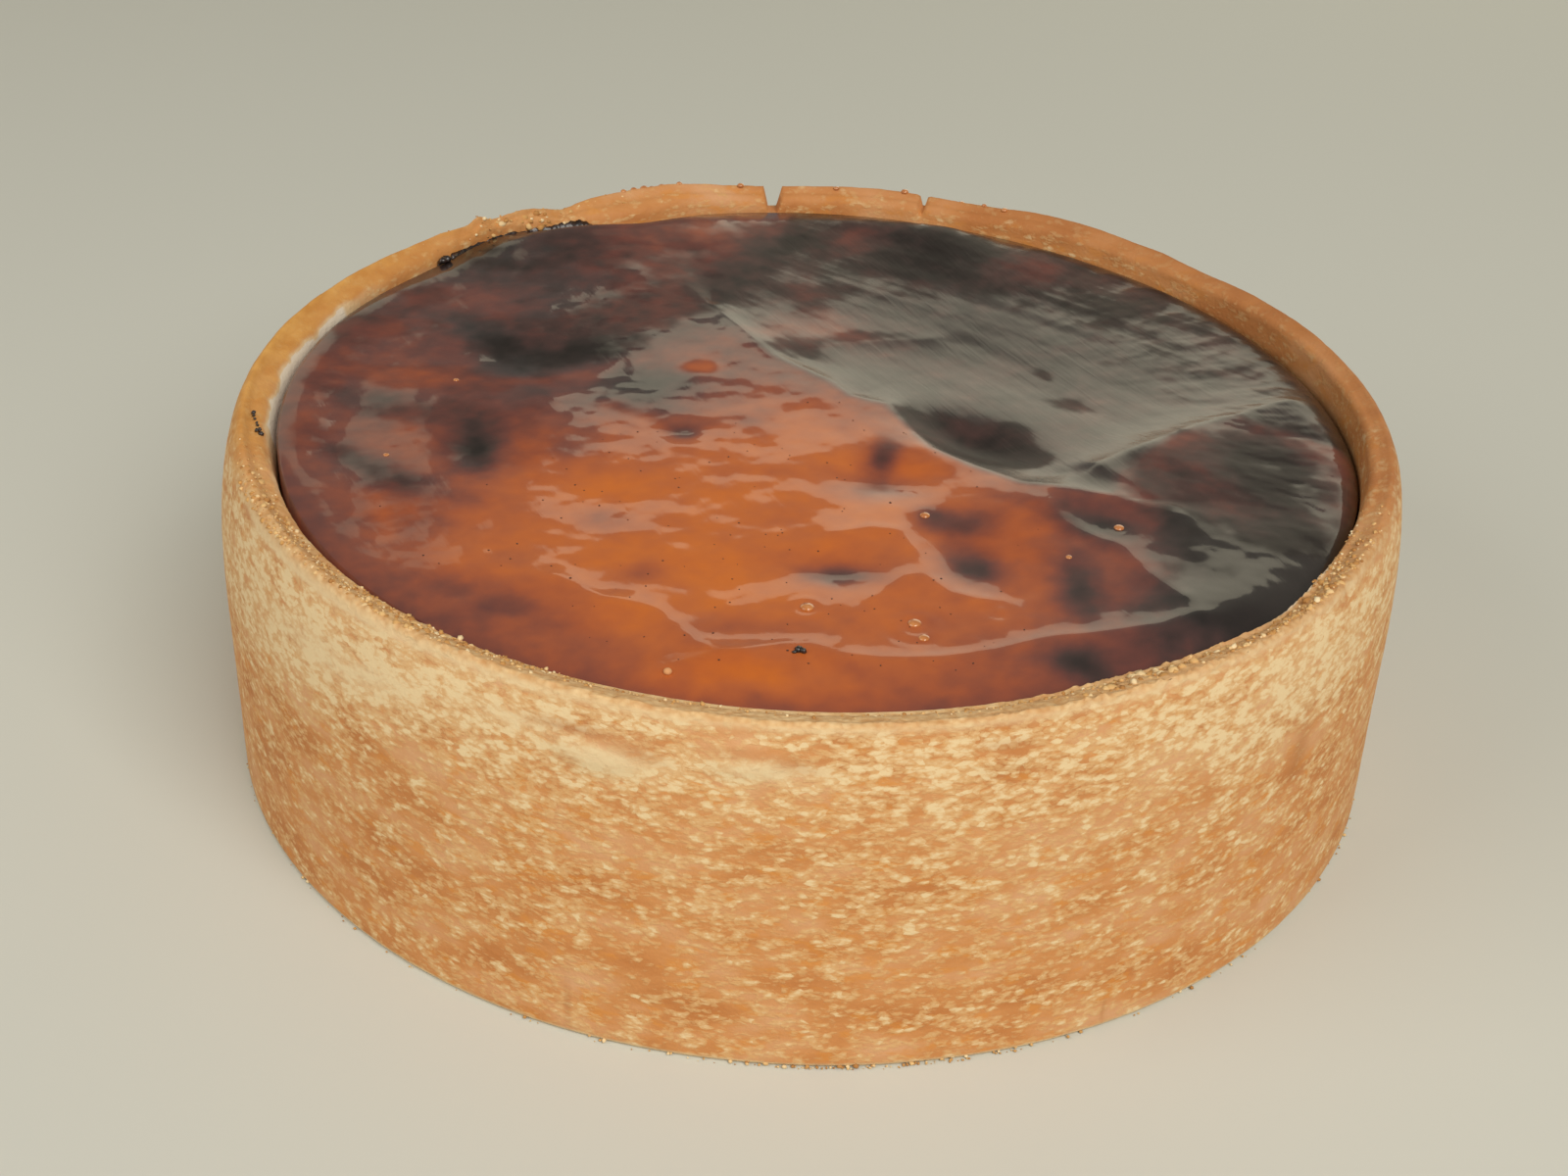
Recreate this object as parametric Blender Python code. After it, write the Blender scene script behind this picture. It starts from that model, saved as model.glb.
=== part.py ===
"""Custard flan: a deep round tart, baked in a straight-sided ring.

A shortcrust case, open at the top, holds a solid filling of set custard. The rim of the case is uneven,
split right through in one place and cracked in another, and the custard stands a few millimetres under it.
The custard's browned top is wavy: long folds, humps and hollows stand in it, with wrinkles round its edge.

The numbers are millimetres, and each mesh is scaled to metres at the end. +Z is up. The origin is the
centre of the flat base. Angles are in degrees about +Z, with +X at 0, so the side seen first, -Y, is at 270.
"""

import math

import bmesh
import bpy
from mathutils import Matrix, Vector, noise

MM = 0.001

# Driving dimensions: a 200 mm ring, 60 mm deep, less what the case shrinks in the oven
CASE_RADIUS = 99.0
RIM_HEIGHT = 60.0
FLOOR_THICKNESS = 5.0
CAVITY_RADIUS = 90.3
FIT_GAP = 0.4

# The custard set with a slight slope: it stands this much higher on one side of the middle
CUSTARD_LEVEL = 55.9
CUSTARD_TILT = 1.2
CUSTARD_HIGH_SIDE = 150.0

# The case's section. The upper part of the wall leans in to the rim, along a quarter of an ellipse
FOOT_ROUND = 1.2
LEAN_DEPTH = 5.0
LEAN_HEIGHT = 26.0
LIP_ROUND = 2.0
LIP_DROP = 0.9
RIM_TOP_WIDTH = 1.2
WALL_RINGS = 4
ARC_STEPS = 4
LEAN_STEPS = 8
CASE_STEPS = 160

# Where the wall leans in more (+) or less (-): (angle, half width in degrees, change in the share of LEAN_DEPTH)
LEANS = ((270.0, 50.0, -0.5), (195.0, 35.0, 0.15), (15.0, 45.0, -0.15))

# The rim stands highest on the left: its height swings this much about the mean
RIM_SWING = 0.8
RIM_HIGH_SIDE = 165.0

# Rises and dips along the rim: (angle, half width in degrees, height)
RIM_LUMPS = (
    (20.0, 9.0, 0.2), (38.0, 4.0, -0.5), (58.0, 8.0, 0.8), (70.0, 4.0, -0.3), (83.0, 7.0, 0.6),
    (108.0, 6.5, 1.2), (122.5, 2.2, -1.2), (134.5, 1.6, 1.5), (232.0, 12.0, -0.4), (272.0, 22.0, -0.6),
    (312.0, 9.0, -0.5), (90.0, 60.0, 0.6),
)

# Splits across the rim: (angle, width at the top, depth). The case's steps are gathered together round each
# one, so that its sides are steep. The first angle lies midway between two steps, which gives that split a
# flat bottom. The second lies on a step, which makes that split a crack.
RIM_SPLITS = ((95.625, 3.0, 4.6), (76.5, 1.3, 2.4))
GATHER_WIDTH = 6.0
GATHER_SHARE = 0.7

# Where the case is thinner (+) or bulges over the custard (-): (angle, half width in degrees, radius)
CAVITY_LUMPS = (
    (131.5, 9.0, 2.4), (115.0, 6.0, -3.0), (180.0, 34.0, -1.8), (14.0, 30.0, 1.4), (318.0, 6.0, 1.1),
    (297.0, 5.0, -0.7),
)

# Raised blisters on the outside of the wall: (angle, height of the centre, width, height, rise)
WALL_BLISTERS = (
    (253.5, 50.5, 13.0, 5.0, 0.9), (265.0, 52.5, 11.0, 4.6, 0.8), (285.5, 52.0, 8.0, 4.0, 0.4),
    (257.5, 14.5, 13.0, 8.0, 0.5),
)

# The custard boiled up against the rim here: (angle, half width in degrees, rise)
CLIMBS = ((131.5, 8.0, 1.0), (185.0, 40.0, 0.8), (88.0, 30.0, 0.7), (30.0, 20.0, 0.3))
CLIMB_REACH = 7.0
EDGE_ROLL = 0.4
EDGE_ROLL_RIGHT = 2.6
EDGE_ROLL_WIDTH = 2.0

# Swells (+) and hollows (-) in the custard's top: (x, y, half length, half width, turn in degrees, height)
SWELLS = (
    (30, 24, 34, 24, -30, -1.6), (-37, 76, 24, 23, 0, 3.4), (10, 88, 12, 13, 0, 1.4), (26, 80, 11, 17, 10, 2.6),
    (47, 72, 9, 15, -40, 1.5), (26, -8, 12, 7, -42, -2.2), (11, -25, 8, 6, 0, -1.0), (3, -53, 8, 5, 0, -0.8),
    (22, -48, 7, 11, 10, -0.9), (-54, -18, 5, 9, 8, -0.5), (-21, -11, 4, 3.5, 0, -0.5), (64, -68, 16, 11, 25, 1.9),
    (-33, -34, 8, 7, 0, -0.35), (-50, 14, 14, 9, 0, -0.9), (-42, -60, 16, 6, -30, 0.35), (-10, -57, 8, 7, 0, -0.25),
    (62, -17, 12, 14, 30, 1.1), (42, -38, 8, 6, -40, -0.5),
)

# Folds in the skin: (crest points, height, half width on the left, half width on the right)
FOLDS = (
    (((-19, 38), (-14, 30), (-8, 19), (2, 10), (6, 4), (12, 2), (15, -4), (19, -13), (25, -19), (33, -26),
      (42, -29), (48, -31)), 1.7, 5.0, 45),
    (((46, -19), (52, -14), (58, -9), (64, -3), (70, 1), (82, 9)), 1.9, 6, 15),
    (((36, -32), (39, -38), (43, -42), (47, -45), (50, -52), (54, -58)), 0.5, 3, 3),
    (((-19, -81), (-12, -77.5), (-4, -75), (4, -77), (18, -76), (26, -74), (34, -70), (50, -66.5), (56, -63)),
     0.6, 2.2, 4),
    (((-37, -59), (-30, -64), (-22, -66.5), (-19, -71), (-16, -75), (-10, -77)), 0.4, 2.5, 4),
    (((4, -43), (9, -41), (13, -42), (16, -48), (17, -54), (20, -58), (25, -60)), 0.4, 2.5, 3),
)
CREST_ROUND = 0.8

# Wrinkles that run in from the custard's edge: (angle, half width in degrees, spacing, length, height, seed)
WRINKLES = ((20.0, 40.0, 9.0, 22.0, 0.35, 61.0), (185.0, 45.0, 10.0, 34.0, 0.3, 71.0))
WRINKLE_REACH = 18.0
CUSTARD_CELLS = 50


def degrees_apart(first, second):
    """The signed turn from second to first, from -180 to 180."""
    return (first - second + 180.0) % 360.0 - 180.0


def bell(distance):
    """1 at 0, falling smoothly to nothing by about 2."""
    return math.exp(-distance * distance)


def ease(value, low, high):
    """0 below low, 1 above high, and smooth between them."""
    share = min(1.0, max(0.0, (value - low) / (high - low)))
    return share * share * (3 - 2 * share)


def round_lumps(angle, lumps):
    """What the (angle, half width, size) lumps come to at this angle."""
    return sum(size * bell(degrees_apart(angle, at) / width) for at, width, size in lumps)


def rough(x, y, z, seed):
    """Smooth noise from -1 to 1 with lumps about one unit across."""
    return noise.noise(Vector((x + seed, y - seed, z)))


def cavity_radius(angle):
    """Radius of the inside of the case, which the custard fills."""
    return CAVITY_RADIUS + round_lumps(angle, CAVITY_LUMPS)


def gathered(angle):
    """The angle, drawn in towards the nearest split."""
    moved = angle
    for at, _, _ in RIM_SPLITS:
        off = degrees_apart(angle, at)
        moved -= off * GATHER_SHARE * bell(off / GATHER_WIDTH)
    return moved


def split_depth(angle):
    """How deep the rim is split at this angle."""
    deepest = 0.0
    for at, width, depth in RIM_SPLITS:
        half_width = math.degrees(width / 2 / CASE_RADIUS)
        deepest = max(deepest, depth * bell((degrees_apart(angle, at) / half_width) ** 3))
    return deepest


def rim_height(angle):
    """Height of the top of the rim at this angle, without its splits."""
    swing = RIM_SWING * math.cos(math.radians(angle - RIM_HIGH_SIDE))
    return RIM_HEIGHT + swing + round_lumps(angle, RIM_LUMPS)


def arc(centre, width, height, start, end, steps):
    """Points along part of an ellipse in the (radius, height) plane, ends included. Its half axes are given."""
    points = []
    for step in range(steps + 1):
        turn = math.radians(start + (end - start) * step / steps)
        points.append((centre[0] + width * math.cos(turn), centre[1] + height * math.sin(turn)))
    return points


def case_section():
    """Half the case's section as (radius, height) points, from the base's centre up and over into the cavity."""
    shoulder = (CASE_RADIUS - LEAN_DEPTH, RIM_HEIGHT - LEAN_HEIGHT)
    lip = (shoulder[0] - RIM_TOP_WIDTH, RIM_HEIGHT - LIP_DROP - LIP_ROUND)
    points = [(0.0, 0.0)]
    points += arc((CASE_RADIUS - FOOT_ROUND, FOOT_ROUND), FOOT_ROUND, FOOT_ROUND, -90, 0, ARC_STEPS)
    for ring in range(1, WALL_RINGS + 1):
        rise = (shoulder[1] - FOOT_ROUND) * ring / (WALL_RINGS + 1)
        points.append((CASE_RADIUS, FOOT_ROUND + rise))
    points += arc(shoulder, LEAN_DEPTH, LEAN_HEIGHT, 0, 90, LEAN_STEPS)
    points += arc(lip, LIP_ROUND, LIP_ROUND, 90, 165, ARC_STEPS)
    points += [(CAVITY_RADIUS, CUSTARD_LEVEL - 2.0), (CAVITY_RADIUS, FLOOR_THICKNESS), (0.0, FLOOR_THICKNESS)]
    return points


def shape_case_point(point):
    """Moves a point of the turned case to its place on the uneven, baked one."""
    radius = math.hypot(point.x, point.y)
    if radius < CAVITY_RADIUS / 2:
        return
    angle = gathered(math.degrees(math.atan2(point.y, point.x)) % 360.0)
    height = point.z
    leaned = CASE_RADIUS - radius
    if radius > CAVITY_RADIUS + 0.1:
        above = max(0.0, height - CUSTARD_LEVEL) / (RIM_HEIGHT - CUSTARD_LEVEL)
        height += above * (rim_height(angle) - RIM_HEIGHT - split_depth(angle))
        if leaned <= LEAN_DEPTH and point.z > FOOT_ROUND:
            radius -= leaned * round_lumps(angle, LEANS)
        inner_share = min(1.0, max(0.0, (leaned - LEAN_DEPTH) / (CASE_RADIUS - LEAN_DEPTH - CAVITY_RADIUS)))
        radius += inner_share * (cavity_radius(angle) - CAVITY_RADIUS)
        radius += above * 0.35 * rough(point.x / 9, point.y / 9, height / 9, 3.0)
        if leaned <= LEAN_DEPTH and height > 0:
            radius += wall_relief(angle, height) * (1 - leaned / LEAN_DEPTH)
    elif height > 0:
        radius = cavity_radius(angle)
    point.x = radius * math.cos(math.radians(angle))
    point.y = radius * math.sin(math.radians(angle))
    point.z = height


def wall_relief(angle, height):
    """How far the outside of the wall stands out: its blisters, and a slow waviness."""
    out = 0.0
    for at, middle, width, tall, rise in WALL_BLISTERS:
        across = math.radians(degrees_apart(angle, at)) * CASE_RADIUS / (width / 2)
        up = (height - middle) / (tall / 2)
        out += rise * bell(math.hypot(across, up) ** 1.5)
    turn = math.radians(angle)
    return out + 0.25 * rough(4 * math.cos(turn), 4 * math.sin(turn), height / 24, 7.0)


def make_pastry_case():
    """The case: its section spun round Z, then pushed out of true."""
    mesh = bmesh.new()
    corners = [mesh.verts.new((radius, 0.0, height)) for radius, height in case_section()]
    edges = [mesh.edges.new(pair) for pair in zip(corners, corners[1:])]
    bmesh.ops.spin(
        mesh, geom=corners + edges, axis=(0, 0, 1), cent=(0, 0, 0), angle=math.tau,
        steps=CASE_STEPS, use_merge=True,
    )
    bmesh.ops.remove_doubles(mesh, verts=mesh.verts, dist=0.01)
    bmesh.ops.recalc_face_normals(mesh, faces=mesh.faces)
    for vertex in mesh.verts:
        shape_case_point(vertex.co)
    return add_object("pastry_case", mesh, pastry_material())


def swell_height(x, y):
    """Height that the swells and hollows give the custard's top."""
    height = 0.0
    for at_x, at_y, half_length, half_width, turn, rise in SWELLS:
        c, s = math.cos(math.radians(turn)), math.sin(math.radians(turn))
        along = (c * (x - at_x) + s * (y - at_y)) / half_length
        across = (-s * (x - at_x) + c * (y - at_y)) / half_width
        height += rise * bell(math.hypot(along, across))
    return height


def off_line(x, y, line):
    """Distance from a place to a line of points, and its side, from 1 on the left to -1 on the right."""
    here = Vector((x, y))
    nearest, side = math.inf, 1.0
    for start, end in zip(line, line[1:]):
        foot, run = Vector(start), Vector(end) - Vector(start)
        share = min(1.0, max(0.0, (here - foot).dot(run) / run.length_squared))
        off = here - (foot + run * share)
        if off.length < nearest - 1e-6:
            nearest = off.length
            side = (run.x * off.y - run.y * off.x) / (run.length * (off.length + 1e-6))
    return nearest, side


def fold_height(x, y):
    """Height that the folds give: each is a rounded crest that falls away at its own rate on either side."""
    height = 0.0
    for crest, rise, left_width, right_width in FOLDS:
        distance, side = off_line(x, y, crest)
        width = right_width + (left_width - right_width) * ease(side, -0.5, 0.5)
        height += rise * math.exp(-(math.hypot(distance, CREST_ROUND) - CREST_ROUND) / width)
    return height


def edge_height(angle, inset):
    """What the custard's edge adds: where it climbed the rim, its wrinkles, and the roll of its skin."""
    height = round_lumps(angle, CLIMBS) * bell(inset / CLIMB_REACH)
    for at, width, spacing, length, rise, seed in WRINKLES:
        around = math.radians(degrees_apart(angle, at)) * CAVITY_RADIUS
        share = bell(degrees_apart(angle, at) / width) * bell((inset - 8) / WRINKLE_REACH) * ease(inset, 0.5, 5)
        height += rise * share * rough(around / spacing, inset / length, 0.0, seed)
    roll = EDGE_ROLL + EDGE_ROLL_RIGHT * bell(degrees_apart(angle, 8.0) / 34)
    return height - roll * math.exp(-inset / EDGE_ROLL_WIDTH)


def custard_height(x, y):
    """Height of the custard's top."""
    angle = math.degrees(math.atan2(y, x)) % 360.0
    radius = math.hypot(x, y)
    inset = max(0.0, cavity_radius(angle) - FIT_GAP - radius)
    tilt = CUSTARD_TILT * radius / CAVITY_RADIUS * math.cos(math.radians(angle - CUSTARD_HIGH_SIDE))
    relief = (swell_height(x, y) + fold_height(x, y)) * (1 - bell(inset / 4.5))
    return CUSTARD_LEVEL + tilt + relief + edge_height(angle, inset)


def round_the_square(u, v):
    """Maps a point of the square from -1 to 1 onto the unit disc, corners included."""
    return u * math.sqrt(1 - v * v / 2), v * math.sqrt(1 - u * u / 2)


def make_custard():
    """The filling: a grid made round for the wavy top, its edge extruded down to the case's floor and closed."""
    mesh = bmesh.new()
    bmesh.ops.create_grid(mesh, x_segments=CUSTARD_CELLS, y_segments=CUSTARD_CELLS, size=1.0)
    for vertex in mesh.verts:
        x, y = round_the_square(vertex.co.x, vertex.co.y)
        radius = cavity_radius(math.degrees(math.atan2(y, x)) % 360.0) - FIT_GAP
        vertex.co = Vector((x * radius, y * radius, 0.0))
        vertex.co.z = custard_height(vertex.co.x, vertex.co.y)
    edge = [e for e in mesh.edges if e.is_boundary]
    lower = bmesh.ops.extrude_edge_only(mesh, edges=edge)["geom"]
    for vertex in (v for v in lower if isinstance(v, bmesh.types.BMVert)):
        vertex.co.z = FLOOR_THICKNESS + FIT_GAP
    bmesh.ops.holes_fill(mesh, edges=[e for e in mesh.edges if e.is_boundary])
    bmesh.ops.recalc_face_normals(mesh, faces=mesh.faces)
    return add_object("custard_filling", mesh, custard_material())


def make_material(name, colour, roughness, coat=0.0):
    """A plain Principled finish."""
    material = bpy.data.materials.new(name)
    material.use_nodes = True
    shader = material.node_tree.nodes["Principled BSDF"]
    shader.inputs["Base Color"].default_value = (*colour, 1.0)
    shader.inputs["Roughness"].default_value = roughness
    shader.inputs["Metallic"].default_value = 0.0
    shader.inputs["Coat Weight"].default_value = coat
    material.diffuse_color = (*colour, 1.0)
    return material


def pastry_material():
    """Baked shortcrust: matt golden brown."""
    return make_material("baked_shortcrust", (0.58, 0.27, 0.09), 0.75)


def custard_material():
    """Browned custard skin under a clear glaze: dark amber, glossy."""
    return make_material("browned_custard", (0.26, 0.06, 0.02), 0.35, coat=1.0)


def add_object(name, mesh, material):
    """Links a finished mesh into the scene in metres, shaded smooth but for its sharp corners."""
    mesh.transform(Matrix.Scale(MM, 4))
    data = bpy.data.meshes.new(name)
    mesh.to_mesh(data)
    mesh.free()
    data.shade_smooth()
    data.set_sharp_from_angle(angle=math.radians(50))
    data.materials.append(material)
    made = bpy.data.objects.new(name, data)
    bpy.context.scene.collection.objects.link(made)
    return made


def main():
    for old in list(bpy.data.objects):
        bpy.data.objects.remove(old)
    make_pastry_case()
    make_custard()


main()
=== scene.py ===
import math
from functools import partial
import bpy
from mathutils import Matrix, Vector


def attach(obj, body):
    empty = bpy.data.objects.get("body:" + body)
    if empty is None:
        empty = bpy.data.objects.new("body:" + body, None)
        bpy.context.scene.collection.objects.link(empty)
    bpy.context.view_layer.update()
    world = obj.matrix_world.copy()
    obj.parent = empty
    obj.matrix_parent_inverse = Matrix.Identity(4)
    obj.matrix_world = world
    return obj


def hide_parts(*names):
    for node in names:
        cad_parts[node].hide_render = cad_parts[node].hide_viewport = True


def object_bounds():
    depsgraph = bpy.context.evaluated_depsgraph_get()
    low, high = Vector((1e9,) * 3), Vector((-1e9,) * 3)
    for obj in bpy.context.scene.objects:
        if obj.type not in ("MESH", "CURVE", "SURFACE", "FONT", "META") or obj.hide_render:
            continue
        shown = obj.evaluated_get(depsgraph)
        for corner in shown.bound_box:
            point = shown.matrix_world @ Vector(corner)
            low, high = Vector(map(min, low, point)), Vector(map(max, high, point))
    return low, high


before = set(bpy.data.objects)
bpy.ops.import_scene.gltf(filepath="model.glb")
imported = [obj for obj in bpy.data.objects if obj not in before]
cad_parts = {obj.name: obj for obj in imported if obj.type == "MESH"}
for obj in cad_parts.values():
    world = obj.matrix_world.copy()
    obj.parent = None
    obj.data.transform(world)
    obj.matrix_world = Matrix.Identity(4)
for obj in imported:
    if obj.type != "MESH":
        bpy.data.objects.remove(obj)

# Custard flan: a deep shortcrust case, baked in a straight-sided ring, filled with custard whose skin has
# browned, blistered and been brushed with clear apricot glaze.
# Lengths in the tables are millimetres. Angles are degrees about +Z, with +X at 0 and the front at 270. A
# half width that comes with an angle is in degrees too.

from types import SimpleNamespace

import bmesh
import bpy
import numpy as np
from mathutils import Matrix, Vector

MM = 0.001
CAD_BOX = [list(corner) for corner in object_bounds()]
BOX_LOW, BOX_HIGH = (np.array(corner) / MM for corner in CAD_BOX)

# The flan's own sizes, as in the frame
CASE_RADIUS = 99
RIM_HEIGHT = 60
FLOOR_THICKNESS = 5
CAVITY_RADIUS = 90.3
FIT_GAP = 0.4

# The custard set with a slight slope: it stands this much higher on one side of the middle
CUSTARD_LEVEL = 55.9
CUSTARD_TILT = 1.2
CUSTARD_HIGH_SIDE = 150

# The case's section, and how finely the case and the custard are divided
FOOT_ROUND = 1.2
LEAN_DEPTH = 5
LEAN_HEIGHT = 26
LIP_ROUND = 2
LIP_DROP = 0.9
RIM_TOP_WIDTH = 1.2
WALL_STEP = 2.4
ARC_STEPS = 7
LEAN_STEPS = 32
BAND_STEPS = 4
INNER_STEPS = 7
CASE_STEPS = 1080
CUSTARD_CELLS = 300
SIDE_RINGS = 4

# Where the wall leans in more (+) or less (-): (angle, half width, change as a share of the lean)
LEANS = ((270, 50, -0.5), (195, 35, 0.15), (15, 45, -0.15))

# The rim stands highest on the left: its height swings this much about the mean
RIM_SWING = 0.8
RIM_HIGH_SIDE = 165

# Rises and dips along the rim: (angle, half width, height)
RIM_LUMPS = (
    (20, 9, 0.2), (38, 4, -0.5), (58, 8, 0.8), (70, 4, -0.3), (83, 7, 0.6), (108, 6.5, 1.2),
    (115.5, 3, 0.3), (122.5, 2.2, -1.2), (128.5, 2.2, 0.3), (134.2, 1.1, 1.3), (139.5, 2, 0.2),
    (232, 12, -0.4), (272, 22, -0.6), (312, 9, -0.5), (90, 60, 0.6),
)

# Splits across the rim: (angle, width at the top, width at the bottom, depth)
RIM_SPLITS = ((95.5, 3.1, 2, 4.6), (76.5, 1.5, 0.2, 2.4))

# Where the case is thinner (+) or bulges over the custard (-): (angle, half width, radius)
CAVITY_LUMPS = (
    (131.5, 9, 2.4), (115, 6, -3), (180, 34, -1.8), (14, 30, 1.4), (318, 6, 1.1), (297, 5, -0.7),
)

# Raised blisters on the outside of the wall: (angle, height of the centre, width, height, rise)
WALL_BLISTERS = (
    (253.5, 50.5, 13, 5, 0.7), (265, 52.5, 11, 4.6, 0.6), (285.5, 52, 8, 3, 0.3),
    (257.5, 14.5, 13, 8, 0.25), (249, 16, 12, 7, 0.15),
)

# The outside of the wall is wavy and flaky: heights, and (grain, seed, octaves). Its flakes are this much
# flatter than they are wide. It stands out this far at most, and is let in by this much to make room
WAVE_HEIGHT = 0.1
WAVES = (24, 47, 1)
FLAKE_HEIGHT = 0.05
FLAKES = (4.5, 53, 3)
FLAKE_FLATNESS = 2.2
WALL_MOST = 0.75
WALL_LET_IN = 0.35

# The floury band under the rim: how low it starts, how much lower in its dips, over what height it fades in,
# and how much of it is lost again between two heights near the top
BAND_LOW = 40
BAND_DIP = 11
BAND_FADE = 13
BAND_LOSS = 0.6
BAND_LOST = (54, 58.5)

# How thickly flour flecks the wall, and how much more it does above two heights and in the band, which has at
# least this strength. How thickly it flecks the rim, and how much more about one angle, over a half width
WALL_FLECKS = 0.38
UPPER_FLECKS = 0.07
UPPER_FLECKS_FROM = (14, 34)
BAND_FLECKS = 0.32
BAND_LEAST = 0.55
RIM_FLECKS = 0.2
FRONT_FLECKS = 0.52
FRONT_FLECKS_AT = 265
FRONT_FLECKS_SPREAD = 55

# How much of the wall an even bloom covers: above two heights, in the band, at the very foot, and at most
UPPER_BLOOM = 0.08
UPPER_BLOOM_FROM = (22, 45)
BAND_BLOOM = 0.42
FOOT_BLOOM = 0.8
MOST_BLOOM = 0.9

# Where the band is strongest: (angle, half width, strength)
CREAM_BANDS = ((211, 15, 0.5), (234, 13, 0.6), (253, 9, 0.4), (272, 12, 0.2), (318, 20, 0.6))

# Where it reaches further down, and where flour shows on the inside of the rim, in the same form
BAND_DIPS = ((208, 20, 1), (316, 24, 0.6))
INNER_BLOOMS = ((176, 16, 2.4), (323, 6, 2), (204, 4, 0.5))

# The flour inside the rim: its upper edge as a share of the way in from the rim's top, how ragged that edge
# is, as (grain, seed, octaves), how soft it is, and between which heights the flour starts
BLOOM_EDGE = 0.72
BLOOM_RAGGED = 0.12
BLOOM_GRAIN = (6, 107, 3)
BLOOM_SOFTNESS = 0.08
BLOOM_FOOT = (53, 54.5)

# Smooth (-) and thickly flecked (+) places on the wall: (angle, height, half width in degrees, half height,
# turn, change)
WALL_MARKS = (
    (257.5, 15.5, 4.2, 4, 0, -0.35), (254, 52.6, 4.5, 1.3, 0, -0.5), (266, 54, 4.5, 1.2, 0, -0.5),
    (285.5, 53.5, 3, 1, 0, -0.3), (317.5, 36, 2.2, 5, 0, -0.3),
)

# Even floury patches on the wall, in the same form
WALL_BLOOMS = (
    (254.5, 50, 4, 1.8, 0, 0.8), (266.5, 51.2, 3.6, 1.6, 0, 0.7), (224, 48.5, 7, 3, 0, 0.45),
    (232, 50, 3, 1.6, 0, 0.4), (246, 52.5, 3, 1.2, 0, 0.5),
)

# Darker marks on the wall, in the same form: arcs along the blisters' top edges, which are browning and
# painted shade in place of their relief's own shading, a reddish stain and two hairline cracks
WALL_BROWNING_AND_SHADE = (
    (251, 53.4, 3, 0.8, 0, 0.6), (256.2, 52, 2.6, 0.9, -22, 0.6), (264.5, 53.8, 2.6, 0.7, 0, 0.5),
    (268.8, 52.4, 2.2, 0.8, -25, 0.5), (285.5, 54.2, 2.5, 0.6, 0, 0.35), (317.5, 36, 1.2, 5, 0, 0.5),
    (250.5, 5.5, 0.25, 4.5, 0, 0.6), (297, 3.2, 0.25, 2, 0, 0.6),
)

# The rim is a smooth golden roll about this angle, over this half width
GOLDEN_AT = 172
GOLDEN_SPREAD = 34

# Browner (+) and paler (-) stretches of the rim: (angle, half width, change)
RIM_BROWNINGS = (
    (20, 45, 0.65), (62, 20, 0.25), (90, 14, 0.15), (108, 12, -0.05), (265, 55, -0.25), (150, 30, 0.1),
)

# How brown the rim is everywhere, and how much painted shade darkens the trough inside it about one angle,
# over a half width
RIM_BROWNING = 0.25
TROUGH_PAINTED_SHADE = 0.5
TROUGH_AT = 20
TROUGH_SPREAD = 40

# The burnt skin that climbed the rim: its span in degrees, its foot's height, how finely it is divided,
# how far it climbed as (angle, half width, rise), and how ragged its top is
FRINGE_SPAN = (117.5, 144)
FRINGE_FOOT = 54.6
FRINGE_STEPS = 260
FRINGE_ROWS = 12
FRINGE_CLIMBS = ((121.5, 3, 2.6), (127, 4, 2.4), (133, 4, 2.4), (139.5, 4, 2.2))
FRINGE_RAGGED = 0.9

# It is at least this high, its ends fade out over this share of its span, and above one height it leans out
# over the rim by this slope
FRINGE_LIFT = 1.2
FRINGE_FADE = 0.06
FRINGE_BEND = 57.2
FRINGE_SLOPE = 0.75

# Burnt bits: (x, y, lift, radius)
BURNT_BITS = (
    (-90.4, -16.2, 0.5, 0.5), (-90.1, -17.2, 0.5, 0.35), (-89.7, -18.2, 0.4, 0.3),
    (-89.2, -19.3, 0.4, 0.25), (-88.8, -20.3, 0.4, 0.3), (-88.3, -21.3, 0.35, 0.45),
    (-87.9, -22.2, 0.3, 0.55), (-88.6, -22, 0.35, 0.45), (-1.6, -76.2, 0.2, 0.7),
    (-0.9, -76.5, 0.15, 0.55), (-1.3, -75.8, 0.15, 0.4), (-2.1, -76.6, 0.1, 0.4), (-71, 56.2, 0.9, 1.3),
    (-70.4, 57, 0.8, 1), (-70.9, 54.8, 0.7, 1.1), (-70.2, 55.8, 0.7, 0.9),
)

# Beads of glaze on the rim, bubbles in the glaze on the custard, and one pale crumb, in the same form
GLAZE_BEADS = (
    (18, 92.6, 0.1, 0.8), (29.6, 90.6, 0.1, 0.8), (38, 86, 0.1, 0.7), (-15.6, 92.6, 0.1, 0.7),
    (-39, 86, 0.1, 0.6), (-37, 87.2, 0.1, 0.7), (-35, 88, 0.1, 0.8), (-33.5, 88.8, 0.1, 0.7),
    (-31.5, 89.6, 0.1, 0.8), (-28, 90.2, 0.1, 0.6), (4, 93.6, 0.1, 0.6), (34, 88, 0.1, 0.5),
)
BUBBLES = (
    (-0.5, -64.4, 0, 1), (14.8, -67.2, 0, 1), (16, -71, 0, 0.8), (17.4, -36.5, 0, 0.8), (47, -39, 0, 0.8),
    (-61, 5, 0, 0.5), (-68, -23, 0, 0.5), (38.5, -48, 0, 0.5),
)
PALE_CRUMB = ((-19.3, -82.6, 0.2, 0.6),)

# Vanilla seeds show through the skin: how many, how large, how dark it may be there, and how far out and how
# far back they lie
SEED_COUNT = 128
SEED_SIZES = (0.09, 0.19)
SEED_DARKEST = 0.42
SEED_REACH = 84
SEED_BACK = 10

# Loose crumbs on the rim, between two radii and above one height, and round the foot of the wall, where most
# lie about one angle
CRUMB_COUNT = 2048
CRUMB_LEDGE = (91, 95.5)
CRUMB_LEDGE_HEIGHT = 56.5
FOOT_CRUMBS_AT = 276
FOOT_CRUMBS_SPREAD = 9

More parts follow.
